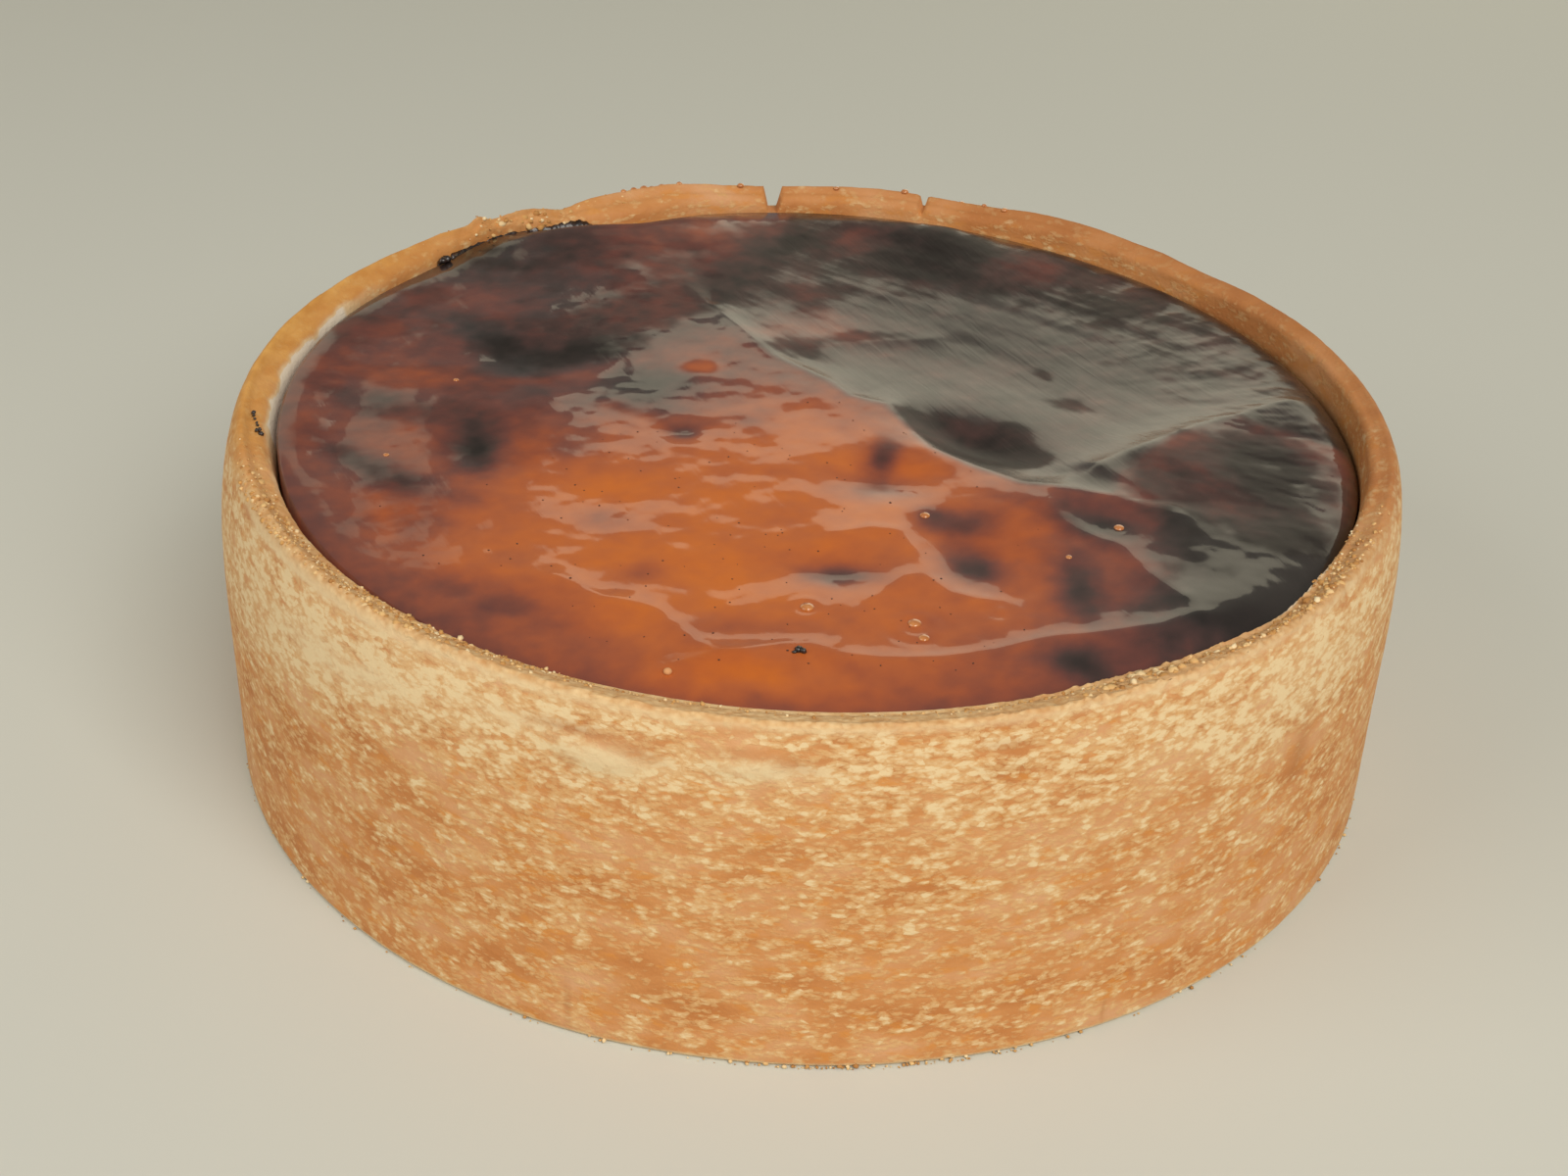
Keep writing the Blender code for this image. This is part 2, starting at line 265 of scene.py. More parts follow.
# An icosphere's corners: each crumb, seed and burnt bit is one, knocked out of shape
PEBBLE_CORNERS = 12

# The front of the rim was cut level and stayed crumbly. The smooth roll goes over into it between the first
# two angles, and comes back between the last two
TRIMMED_FROM = (197, 214)
TRIMMED_TO = (322, 345)

# Its cut edge: how far in from the wall it lies before the lean, its width, and its rise
CREST_AT = 3.2
CREST_WIDTH = 0.9
CREST_SHARPENING = 0.3

# Inside that edge the cut top falls away: gently, as (radius, reach, fall for each mm), and then steeply, as
# (radius, reach, fall)
TRIM_SLOPE = (97.2, 4.2, 0.28)
TRIM_DROP = (93.6, 1.6, 1.7)

# The roughness of the pastry on the rim, fine and coarse: (grain, seed, octaves). How high it stands, with
# more where the rim is trimmed or torn, and how far it moves the inside of the rim out or in
GRIT = (2, 41, 3)
LUMPS = (7, 43, 2)
GRIT_RISE = 0.06
GRIT_RISE_TRIMMED = 0.16
GRIT_RISE_TORN = 1.5
LUMP_RISE = 0.16
GRIT_OUT = 0.05
GRIT_OUT_TRIMMED = 0.2
GRIT_IN_TORN = 1.2
LUMP_OUT = 0.3

# The pale torn line along the cut edge: its width, its least strength, and how much stronger it is about one
# angle, over a half width
CRACK_WIDTH = 0.45
CRACK_LEAST = 0.6
CRACK_MORE = 0.7
CRACK_AT = 222
CRACK_SPREAD = 15

# Torn stretches of the rim's inner edge: (angle, half width, strength)
TORN_EDGES = ((128, 10, 1), (236, 11, 0.8), (300, 13, 1), (322, 8, 0.9), (206, 10, 0.4))

# The custard boiled up against the rim here: (angle, half width, rise)
CLIMBS = ((131.5, 8, 1), (180, 34, 1.7), (88, 30, 0.7), (30, 20, 0.3))
CLIMB_REACH = 7

# Swells (+) and hollows (-) in the custard's top: (x, y, half length, half width, turn in degrees, height)
SWELLS = (
    (30, 24, 34, 24, -30, -1.6), (-37, 76, 24, 23, 0, 3.4), (10, 88, 12, 13, 0, 1.4),
    (26, 80, 11, 17, 10, 2.6), (47, 72, 9, 15, -40, 1.5), (26, -8, 12, 7, -42, -2.2),
    (11, -25, 8, 6, 0, -1), (3, -53, 8, 5, 0, -0.8), (22, -48, 7, 11, 10, -0.9),
    (-54, -18, 5, 9, 8, -0.5), (-21, -11, 4, 3.5, 0, -0.5), (64, -68, 16, 11, 25, 1.9),
    (-33, -34, 8, 7, 0, -0.35), (-50, 14, 14, 9, 0, -0.9), (-42, -60, 16, 6, -30, 0.35),
    (-10, -57, 8, 7, 0, -0.25), (62, -17, 12, 14, 30, 1.1), (42, -38, 8, 6, -40, -0.5),
)

# Folds in the skin: (crest points, height, half width on the left, half width on the right)
FOLDS = (
    (((-19, 38), (-14, 30), (-8, 19), (2, 10), (6, 4), (12, 2), (15, -4), (19, -13), (25, -19), (33, -26),
      (42, -29), (48, -31)), 1.7, 5, 45),
    (((46, -19), (52, -14), (58, -9), (64, -3), (70, 1), (82, 9)), 1.9, 6, 15),
    (((36, -32), (39, -38), (43, -42), (47, -45), (50, -52), (54, -58)), 0.5, 3, 3),
    (((-19, -81), (-12, -77.5), (-4, -75), (0, -74.5), (4, -77), (10, -77), (18, -76), (26, -74), (34, -70),
      (42, -68.5), (50, -66.5), (56, -63)), 0.4, 1.6, 3),
    (((-37, -59), (-30, -64), (-22, -66.5), (-19, -71), (-16, -75), (-10, -77)), 0.4, 2.5, 4),
    (((4, -43), (9, -41), (13, -42), (16, -48), (17, -54), (20, -58), (25, -60)), 0.4, 2.5, 3),
    (((4, -74), (6, -68), (9, -61), (14, -55)), 0.3, 2.5, 2.5),
    (((-8, 24), (2, 28), (12, 32), (21, 34)), 0.35, 8, 3),
    (((47, -20), (52, -26), (57, -34)), 0.4, 4, 3),
)
CREST_ROUND = 0.8

# Wrinkles that run in from the custard's edge: (angle, half width, spacing, length, height, seed).
# Below: how far from the edge they begin, where they are strongest, how far they reach from there, the radius
# where their spacing is measured, and how much they dull the glaze, evenly and along each crease
WRINKLES = (
    (26, 42, 4.6, 9, 0.17, 61), (350, 24, 5.5, 10, 0.18, 67), (60, 30, 6.5, 14, 0.12, 73),
    (185, 48, 9, 26, 0.07, 71),
)
WRINKLE_START = (0.5, 5)
WRINKLE_MIDDLE = 8
WRINKLE_REACH = 18
WRINKLE_ROUND = 80
WRINKLE_DULLING = (0.22, 0.55)

# The custard rolls down at its very edge, most about one angle, and its relief fades out towards the edge
EDGE_ROLL = 0.4
EDGE_ROLL_WIDTH = 2
EDGE_ROLL_RIGHT = 2.6
EDGE_ROLL_AT = 8
EDGE_ROLL_SPREAD = 34
EDGE_CALM = 4.5

# Ripples all over the skin: (grain, height, seed)
RIPPLES = ((22, 0.22, 11), (9, 0.085, 23), (4, 0.04, 37))

# Ringed swirls in the glaze, round its bubbles: (x, y, spacing of the rings, reach, height)
SWIRLS = (
    (-0.5, -64.4, 2.6, 3.4, 0.05), (15, -68, 3, 5, 0.06), (17.4, -36.5, 2, 2.2, 0.03),
    (47, -39, 2.2, 2.4, 0.03), (-21, -11, 2.8, 3.6, 0.04), (27, -63, 3.4, 3.6, 0.04),
)

# Brush strokes drawn through the wet burnt skin: (grain across, grain along, turn, height, seed). They bend
# away from one depth, and the burnt skin has this much less of the ripples
STROKES = ((1.9, 26, -68, 0.012, 83), (9, 40, -66, 0.1, 89))
STROKE_BEND = 0.007
STROKE_BEND_FROM = -20
BURNT_STILLNESS = 0.6

# How dark the skin has baked, from 0, clear amber, to 1, burnt black. It grows outwards from the palest
# place near the front, and again along the very edge
AMBER_CENTRE = (-6, -44)
AMBER_REACH = (58, 46)
AMBER_EDGES = (0.5, 1.2)
AMBER_LEVEL = 0.14
OUTER_LEVEL = 0.6
EDGE_BROWNING = 0.12
EDGE_BROWNING_WIDTH = 3.5

# Blots all over the skin: (grain, change, seed, octaves)
BLOTS = ((12, 0.1, 5, 4), (3.5, 0.08, 9, 3))

# Darker (+) and paler (-) places: (x, y, half length, half width, turn in degrees, change)
BROWNINGS = (
    (-45, 48, 42, 30, 0, 0.14), (-57, 21, 12, 4.5, -55, 0.28), (-40, 18, 15, 5, 30, 0.3),
    (-46, 28, 14, 9, 0, 0.16), (-12, 58, 24, 7, 72, 0.26), (-52, 55, 12, 8, 40, 0.16),
    (-66, 60, 14, 8, 50, 0.22), (-52, 6, 12, 2.5, 10, -0.1), (-30, 15, 12, 2.5, 30, -0.08),
    (-18, 71, 9, 7, 20, -0.06), (-78, 23, 5, 4, 0, -0.12), (-63, 39, 7, 5, 0, -0.12),
    (-68, 7, 6, 4, -20, -0.12), (-20, 12.5, 3, 2.5, 0, -0.3), (-27, 6, 10, 6, -10, 0.34),
    (-6, 4, 16, 10, -45, -0.1), (6, -14, 16, 8, -50, -0.06), (-26, -3, 12, 4, -25, 0.16),
    (-54, -19, 4, 8, 10, 0.46), (-71, -26, 9, 3, -35, 0.26), (-61, -33, 11, 4, -18, 0.24),
    (-72, -5, 12, 5, -25, 0.22), (-58, -46, 4, 6, -10, 0.14), (-32, -41, 4, 4, 0, 0.26),
    (-39, -18, 5, 4, 0, 0.14), (-21, -11, 2.5, 2.5, 0, 0.4), (-25, -56, 4, 3, 40, 0.28),
    (-44, -66, 15, 4, -28, 0.26), (-72, -8, 14, 34, 0, -0.07), (-58, -54, 14, 20, 40, -0.1),
    (-4, -86, 44, 8, 0, -0.12), (-55, -2, 12, 16, 0, 0.09), (-78, 24, 8, 9, 0, 0.1),
    (24, -51, 4.5, 6, 20, 0.56), (24, -38, 5, 4.5, 0, 0.5), (18, -37, 3, 4, 0, 0.45),
    (4, -54.5, 6.5, 3.2, 0, 0.66), (11.5, -17, 2.8, 7, -12, 0.56), (11, -28, 6, 4, 0, 0.4),
    (39, -56, 3.5, 9, 0, 0.4), (43, -38, 7, 4, -40, 0.36), (59, -41, 6, 8, 0, 0.34),
    (37, -76, 4, 4, 20, 0.36), (64, -58, 17, 10, 20, 0.42), (-8, -83, 10, 4, 0, -0.16),
    (38, -40, 20, 24, 0, 0.16), (60, -22, 10, 12, -20, 0.14), (74, -16, 9, 14, 20, 0.46),
    (74, -44, 14, 14, 30, 0.42), (-33, -31, 7, 5, 0, -0.1), (-12, -36, 7, 7, 0, -0.08),
    (-17, -53, 8, 9, 0, -0.08), (-13, -62, 7, 7, 0, -0.12), (12, -38, 10, 3, 0, -0.04),
    (18, -66, 8, 6, 0, 0.06), (-22, -72, 6, 5, -20, -0.1), (33, -62, 10, 6, 0, -0.04),
    (-10, -7, 3, 3, 0, 0.22), (30, -30, 8, 3, 0, 0.1), (-8, -70, 10, 4, 0, 0.22), (4, -50, 9, 3, 0, 0.12),
)

# Behind this line, which follows the long fold, the skin is burnt nearly black: (x, y) from the back rim to
# the right rim
BURNT_LINE = (
    (-4, 92), (-7, 76), (-12, 56), (-19, 38), (-14, 30), (-8, 19), (2, 10), (6, 4), (12, 2), (15, -4),
    (19, -13), (25, -19), (33, -26), (42, -29), (47, -29), (49, -21), (58, -9), (64, -3), (72, 2),
    (84, -4), (94, -6),
)
BURNT_LEVEL = 0.92
BURNT_SOFTNESS = 1.6

# Paler places inside the burnt part: (x, y, half length, half width, turn in degrees, change)
BURNT_PALER = (
    (3, 36, 9, 12, 20, -0.22), (0, 52, 6, 7, 0, -0.12), (8, 76, 6, 7, 0, -0.26),
    (43, 65, 8, 9, -35, -0.22), (-8, 30, 6, 8, -45, -0.28), (25, 22, 14, 10, 0, -0.06),
    (60, 58, 8, 6, 0, -0.14), (74, 24, 8, 12, 0, -0.08), (45, 2, 6, 12, -20, -0.1),
    (24, 70, 9, 9, 0, 0.1),
)

# Places that baked dry and took little glaze: (x, y, half length, half width, turn in degrees, share)
DRY_PLACES = (
    (-37, 64, 27, 15, 18, 1), (-46, 23, 15, 11, -10, 0.9), (-26, 40, 18, 9, 45, 0.9),
    (-13, 64, 18, 5, 72, 0.7), (26, -6.5, 10, 5.6, -38, 2.6), (34, -3, 3, 5, 20, 1),
    (36, -13, 4, 3, -50, 1), (24, 68, 9, 12, 0, 1.1), (44, 66, 6, 12, -42, 0.8), (10, 76, 6, 7, 0, 0.8),
    (60, 52, 6, 14, -50, 0.5), (60, -20, 8, 13, -28, 1.4), (70, -32, 8, 14, 20, 0.8),
    (78, -7, 5, 8, 0, 0.7), (-49, -16, 8, 15, 8, 0.9), (-20, 12.5, 3.2, 2.6, 0, 1.4),
    (-55, 5, 14, 4, 5, 0.7), (1, 50, 5, 6, 0, 0.4), (-69, 40, 6, 5, 0, 0.6), (-78, 24, 5, 5, 0, 0.8),
    (-69, 6, 6, 5, 0, 0.8), (-30, -5, 10, 3, -35, 0.7), (11.5, -17, 5, 8, -10, 0.9),
    (18, -19, 6, 4, -40, 0.8), (-10, -80, 12, 5, 0, 0.8), (30, -40, 16, 14, 0, 0.6),
    (34, 62, 40, 13, -20, 0.4), (62, 30, 16, 14, 0, 0.25), (4, 62, 14, 22, 0, 0.45),
    (-4, 46, 6, 10, 30, 0.3), (14, 34, 9, 2.5, 8, 0.5), (44, 9, 5, 3, -50, 0.7),
    (41, 21, 1.6, 3, 20, 0.6), (5, 31, 7, 3, 30, 0.5), (-60, -8, 5, 12, 0, 0.5), (-57, -17, 4, 5, 0, 0.8),
    (-82, 4, 4, 28, 0, 0.7), (-68, -14, 9, 9, 0, 0.4), (-72, -26, 9, 4, -35, 0.5),
    (-62, -40, 8, 10, -30, 0.5), (-2, 24, 4, 9, 45, 0.5), (-10, 36, 3, 8, 20, 0.3),
    (74, -52, 9, 8, 40, -0.4), (-5, 25, 9, 3, 35, 0.5), (75, -20, 10, 16, 0, 0.4),
    (54, -50, 12, 11, 20, 0.25),
)
DRY_EDGES = (0.15, 0.85)

# A dry speckle everywhere: (grain, share, seed). Dry streaks along the brush, most on the burnt part: (grain
# across, grain along, turn, share, seed)
DRY_SPECKLE = (7, 0.34, 97)
DRY_STREAKS = (2, 26, -68, 0.24, 101)


def linear(code):
    """An sRGB hex colour as linear RGBA."""
    channels = [int(code[at:at + 2], 16) / 255 for at in (1, 3, 5)]
    return (*(c / 12.92 if c <= 0.04045 else ((c + 0.055) / 1.055) ** 2.4 for c in channels), 1)


def apart(first, second):
    """The signed turn from second to first, from -180 to 180."""
    return (first - second + 180) % 360 - 180


def angle_of(x, y):
    """The angle of each place about +Z, from 0 to 360."""
    return np.degrees(np.arctan2(y, x)) % 360


def flat_places(x, y):
    """Places (x, y, 0) as rows."""
    return np.column_stack((x, y, np.zeros_like(x)))


def round_places(radius, angle, height):
    """Places from their radius, angle and height."""
    turn = np.radians(angle)
    return np.column_stack((radius * np.cos(turn), radius * np.sin(turn), height))


def bell(distance):
    """1 at 0, falling smoothly to nothing by about 2."""
    return np.exp(-np.square(distance))


def ease(value, low, high):
    """0 below low, 1 above high, and smooth between them."""
    share = np.clip((value - low) / (high - low), 0, 1)
    return share * share * (3 - 2 * share)


def round_lumps(angle, lumps):
    """What (angle, half width, size) lumps come to at these angles."""
    return sum(size * bell(apart(angle, at) / width) for at, width, size in lumps)


def patches(x, y, table):
    """What oval (x, y, half length, half width, turn, size) patches come to at these places."""
    total = np.zeros_like(x)
    for at_x, at_y, half_length, half_width, turn, size in table:
        c, s = math.cos(math.radians(turn)), math.sin(math.radians(turn))
        along = (c * (x - at_x) + s * (y - at_y)) / half_length
        across = (-s * (x - at_x) + c * (y - at_y)) / half_width
        total += size * bell(np.hypot(along, across))
    return total


def slopes_table():
    """256 unit directions, the same each run, which the noise below leans along."""
    directions = np.random.default_rng(7).normal(size=(256, 3))
    return directions / np.linalg.norm(directions, axis=1)[:, None]


SLOPES = slopes_table()
SHUFFLE = np.random.default_rng(8).permutation(256)

# The noise's own grid is turned like this, so that it never lines up with the flan
GRID_TURN = np.array(Matrix.Rotation(0.9, 3, Vector((1, 0.7, 0.4))))


def gradient_noise(places):
    """Smooth noise from about -0.7 to 0.7 with lumps one unit across."""
    places = places @ GRID_TURN
    cell = np.floor(places).astype(np.int64)
    part = places - cell
    eased = part ** 3 * (part * (part * 6 - 15) + 10)
    total = np.zeros(len(places))
    for corner in np.ndindex(2, 2, 2):
        at = cell + corner
        pick = SHUFFLE[(SHUFFLE[(SHUFFLE[at[:, 0] & 255] + at[:, 1]) & 255] + at[:, 2]) & 255]
        share = np.prod(np.where(corner, eased, 1 - eased), axis=1)
        total += share * np.einsum("ij,ij->i", SLOPES[pick], part - corner)
    return total


def rough(places, grain, seed, octaves=2):
    """Fractal noise from about -1 to 1, with lumps about one grain across, at these (x, y, z) places."""
    total = np.zeros(len(places))
    for octave in range(octaves):
        total += gradient_noise(places * 2 ** octave / grain + seed + 17.3 * octave) / 2 ** octave
    return total * 1.4


def drawn_out(x, y, across, along, turn):
    """Places for noise that is drawn out into long streaks, which bend to the left towards the back."""
    c, s = math.cos(math.radians(turn)), math.sin(math.radians(turn))
    x = x + STROKE_BEND * np.square(y - STROKE_BEND_FROM)
    return flat_places((c * x + s * y) / along, (c * y - s * x) / across)


def off_line(x, y, line):
    """Distance from each place to a line of points, and its side, from 1 on the left to -1 on the right."""
    nearest = np.full_like(x, 1e9)
    side = np.ones_like(x)
    for (x0, y0), (x1, y1) in zip(line, line[1:]):
        run_x, run_y = x1 - x0, y1 - y0
        share = np.clip(((x - x0) * run_x + (y - y0) * run_y) / (run_x ** 2 + run_y ** 2), 0, 1)
        off_x, off_y = x - (x0 + share * run_x), y - (y0 + share * run_y)
        distance = np.hypot(off_x, off_y)
        closer = distance < nearest - 1e-6
        turned = (run_x * off_y - run_y * off_x) / (math.hypot(run_x, run_y) * (distance + 1e-6))
        side = np.where(closer, turned, side)
        nearest = np.where(closer, distance, nearest)
    return nearest, side


def cavity_radius(angle):
    """Radius of the inside of the case."""
    return CAVITY_RADIUS + round_lumps(angle, CAVITY_LUMPS)


def edge_distance(x, y):
    """How far inside the case's wall each place lies, and 0 beyond it."""
    return np.maximum(0, cavity_radius(angle_of(x, y)) - np.hypot(x, y))


def rim_height(angle):
    """Height of the top of the rim, without its splits."""
    return RIM_HEIGHT + RIM_SWING * np.cos(np.radians(angle - RIM_HIGH_SIDE)) + round_lumps(angle, RIM_LUMPS)


def split_depth(angle):
    """How deep the rim is split."""
    deepest = np.zeros_like(angle)
    for at, top, bottom, depth in RIM_SPLITS:
        off = np.abs(np.radians(apart(angle, at))) * CASE_RADIUS
        deepest = np.maximum(deepest, depth * (1 - ease(off, bottom / 2, top / 2 + 0.3)))
    return deepest


def custard_height(x, y):
    """Height of the custard's top at these places."""
    angle = angle_of(x, y)
    inset = np.maximum(0, edge_distance(x, y) - FIT_GAP)
    relief = patches(x, y, SWELLS)
    for crest, rise, left_width, right_width in FOLDS:
        distance, side = off_line(x, y, crest)
        width = right_width + (left_width - right_width) * ease(side, -0.5, 0.5)
        relief += rise * np.exp(-(np.hypot(distance, CREST_ROUND) - CREST_ROUND) / width)
    burnt = burnt_share(x, y)
    for grain, rise, seed in RIPPLES:
        relief += rise * (1 - BURNT_STILLNESS * burnt) * rough(flat_places(x, y), grain, seed)
    for at_x, at_y, spacing, reach, rise in SWIRLS:
        distance = np.hypot(x - at_x, y - at_y)
        relief += rise * np.cos(math.tau * distance / spacing) * bell(distance / reach)
    for across, along, turn, rise, seed in STROKES:
        relief += rise * burnt * rough(drawn_out(x, y, across, along, turn), 1, seed)
    tilt = CUSTARD_TILT * np.hypot(x, y) / CAVITY_RADIUS * np.cos(np.radians(angle - CUSTARD_HIGH_SIDE))
    height = CUSTARD_LEVEL + tilt + relief * (1 - bell(inset / EDGE_CALM))
    height += round_lumps(angle, CLIMBS) * bell(inset / CLIMB_REACH)
    for *form, rise, seed in WRINKLES:
        share, crease = wrinkled(angle, inset, *form, seed)
        height += rise * share * crease
    roll = EDGE_ROLL + EDGE_ROLL_RIGHT * bell(apart(angle, EDGE_ROLL_AT) / EDGE_ROLL_SPREAD)
    return height - roll * np.exp(-inset / EDGE_ROLL_WIDTH)


def wrinkled(angle, inset, at, width, spacing, length, seed):
    """How much one set of wrinkles shows at these angles and distances from the edge, and its creases."""
    around = np.radians(apart(angle, at)) * WRINKLE_ROUND
    share = bell(apart(angle, at) / width) * bell((inset - WRINKLE_MIDDLE) / WRINKLE_REACH)
    crease = rough(flat_places(around / spacing, inset / length), 1, seed, 3)
    return share * ease(inset, *WRINKLE_START), crease


def burnt_share(x, y):
    """1 where the skin is burnt, behind the long fold, and 0 in front of it."""
    distance, side = off_line(x, y, BURNT_LINE)
    return ease(distance * np.sign(side), -BURNT_SOFTNESS, BURNT_SOFTNESS)


def browning(x, y):
    """How dark the custard's skin is, from 0, clear amber, to 1, burnt black."""
    reach = np.hypot((x - AMBER_CENTRE[0]) / AMBER_REACH[0], (y - AMBER_CENTRE[1]) / AMBER_REACH[1])
    level = AMBER_LEVEL + (OUTER_LEVEL - AMBER_LEVEL) * ease(reach, *AMBER_EDGES)
    level += patches(x, y, BROWNINGS)
    level += burnt_share(x, y) * (BURNT_LEVEL + patches(x, y, BURNT_PALER) - level)
    for grain, change, seed, octaves in BLOTS:
        level += change * rough(flat_places(x, y), grain, seed, octaves)
    level += EDGE_BROWNING * np.exp(-edge_distance(x, y) / EDGE_BROWNING_WIDTH)
    return np.clip(level, 0, 1)


def dryness(x, y):
    """1 where the skin baked dry and dull, 0 where it is fully glazed."""
    grain, speckle, seed = DRY_SPECKLE
    dry = patches(x, y, DRY_PLACES) + speckle * rough(flat_places(x, y), grain, seed, 4)
    across, along, turn, share, seed = DRY_STREAKS
    streaks = rough(drawn_out(x, y, across, along, turn), 1, seed)
    dry += share * (0.4 + 0.6 * burnt_share(x, y)) * streaks
    for *form, _, seed in WRINKLES:
        share, crease = wrinkled(angle_of(x, y), edge_distance(x, y), *form, seed)
        dry += share * (WRINKLE_DULLING[0] + WRINKLE_DULLING[1] * crease)
    return ease(dry, *DRY_EDGES)


def read_points(mesh):
    """The mesh's points in millimetres, as columns x, y, z."""
    flat = np.empty(len(mesh.vertices) * 3, np.float32)
    mesh.vertices.foreach_get("co", flat)
    return flat.reshape(-1, 3).astype(float) / MM


def write_points(mesh, points):
    """Moves the mesh's points to these places in millimetres, kept inside the frame's own box."""
    kept = np.clip(points, BOX_LOW, BOX_HIGH) * MM
    mesh.vertices.foreach_set("co", kept.astype(np.float32).ravel())
    mesh.update()


def write_layer(mesh, name, values):
    """Stores one number a point, which a material reads by this name."""
    layer = mesh.attributes.new(name, "FLOAT", "POINT")
    layer.data.foreach_set("value", np.asarray(values, np.float32))


def mesh_object(name, made, material):
    """An object of this material from a finished bmesh, shaded smooth."""
    mesh = bpy.data.meshes.new(name)
    made.to_mesh(mesh)
    made.free()
    mesh.shade_smooth()
    mesh.materials.append(material)
    piece = bpy.data.objects.new(name, mesh)
    bpy.context.scene.collection.objects.link(piece)
    return piece


def arc(centre, width, height, start, end, steps):
    """Points along part of an ellipse with these half axes in the (radius, height) plane, ends included."""
    turns = np.radians(np.linspace(start, end, steps + 1))
    return [(centre[0] + width * math.cos(t), centre[1] + height * math.sin(t)) for t in turns]


def line_between(start, end, steps):
    """Points between two ends, both left out."""
    shares = [step / steps for step in range(1, steps)]
    return [(start[0] + (end[0] - start[0]) * s, start[1] + (end[1] - start[1]) * s) for s in shares]


def case_section():
    """Half the case's section, from the base's centre up and over into the cavity."""
    shoulder = (CASE_RADIUS - LEAN_DEPTH, RIM_HEIGHT - LEAN_HEIGHT)
    lip = (shoulder[0] - RIM_TOP_WIDTH, RIM_HEIGHT - LIP_DROP - LIP_ROUND)
    foot = arc((CASE_RADIUS - FOOT_ROUND, FOOT_ROUND), FOOT_ROUND, FOOT_ROUND, -90, 0, 4)
    outer = arc(shoulder, LEAN_DEPTH, LEAN_HEIGHT, 0, 90, LEAN_STEPS)
    inner = arc(lip, LIP_ROUND, LIP_ROUND, 90, 165, ARC_STEPS)
    level = (CAVITY_RADIUS, CUSTARD_LEVEL - 2)
    points = [(0, 0)] + line_between((0, 0), foot[0], 2) + foot
    points += line_between(foot[-1], outer[0], round((outer[0][1] - foot[-1][1]) / WALL_STEP)) + outer
    points += line_between(outer[-1], inner[0], BAND_STEPS) + inner
    points += line_between(inner[-1], level, INNER_STEPS) + [level]
    points += [(CAVITY_RADIUS, 40), (CAVITY_RADIUS, FLOOR_THICKNESS), (0, FLOOR_THICKNESS)]
    return points


def wrapped_section(name, section, steps, material):
    """A grid bent round Z: its rows are the section's points and its columns the steps of the turn."""
    made = bmesh.new()
    rows = len(section) - 1
    bmesh.ops.create_grid(made, x_segments=steps, y_segments=rows, size=0.5)
    for vertex in made.verts:
        turn = math.tau * (vertex.co.x + 0.5)
        radius, height = section[round((vertex.co.y + 0.5) * rows)]
        vertex.co = (radius * math.cos(turn) * MM, radius * math.sin(turn) * MM, height * MM)
    bmesh.ops.remove_doubles(made, verts=made.verts, dist=0.01 * MM)
    bmesh.ops.recalc_face_normals(made, faces=made.faces)
    return mesh_object(name, made, material)


def case_zones(points):
    """Where each point of the plain case lies: its radius, angle and height z, how far it is leaned in from
    the wall's outside, and from 0 to 1 how far it is above the custard, how far in from the rim's top, and
    how torn and how trimmed the rim is there."""
    x, y, z = points.T
    radius, angle = np.hypot(x, y), angle_of(x, y)
    leaned = CASE_RADIUS - radius
    is_wall = radius > CAVITY_RADIUS + 0.05
    above = np.clip((z - CUSTARD_LEVEL) / (RIM_HEIGHT - CUSTARD_LEVEL), 0, 1.2)
    inner = np.clip((leaned - LEAN_DEPTH) / (CASE_RADIUS - LEAN_DEPTH - CAVITY_RADIUS), 0, 1)
    is_base = (radius < CAVITY_RADIUS - 0.05) | (z < FLOOR_THICKNESS - 0.1)
    return SimpleNamespace(
        radius=radius, angle=angle, z=z, leaned=leaned, above=np.where(is_wall, above, 0),
        inner=np.where(is_base, 0, inner), is_outside=(leaned < LEAN_DEPTH - 0.5) & (z > 0.01),
        leans=is_wall & (z > FOOT_ROUND), torn=np.clip(round_lumps(angle, TORN_EDGES), 0, 1.2),
        trimmed=trimmed_share(angle))


def trimmed_share(angle):
    """1 along the front of the rim, where it was cut level, and 0 where it is a smooth roll."""
    return ease(angle, *TRIMMED_FROM) * ease(-angle, -TRIMMED_TO[1], -TRIMMED_TO[0])


def case_height(case, crest, crumb_zone, grit, lumps):
    """Height of each point of the case: the rim uneven, split and gritty, and its cut top sloping inwards."""
    height = case.z + case.above * (rim_height(case.angle) - RIM_HEIGHT - split_depth(case.angle))
    height += case.above * ((GRIT_RISE + GRIT_RISE_TRIMMED * case.trimmed) * grit + LUMP_RISE * lumps)
    height += GRIT_RISE_TORN * case.torn * crumb_zone * np.abs(grit)
    height += CREST_SHARPENING * crest * (1 + grit)
    slope_from, slope_reach, slope = TRIM_SLOPE
    drop_from, drop_reach, drop = TRIM_DROP
    fall = slope * np.clip(slope_from - case.radius, 0, slope_reach)
    fall += drop * ease(drop_from - case.radius, 0, drop_reach)
    return height - case.above * case.trimmed * fall


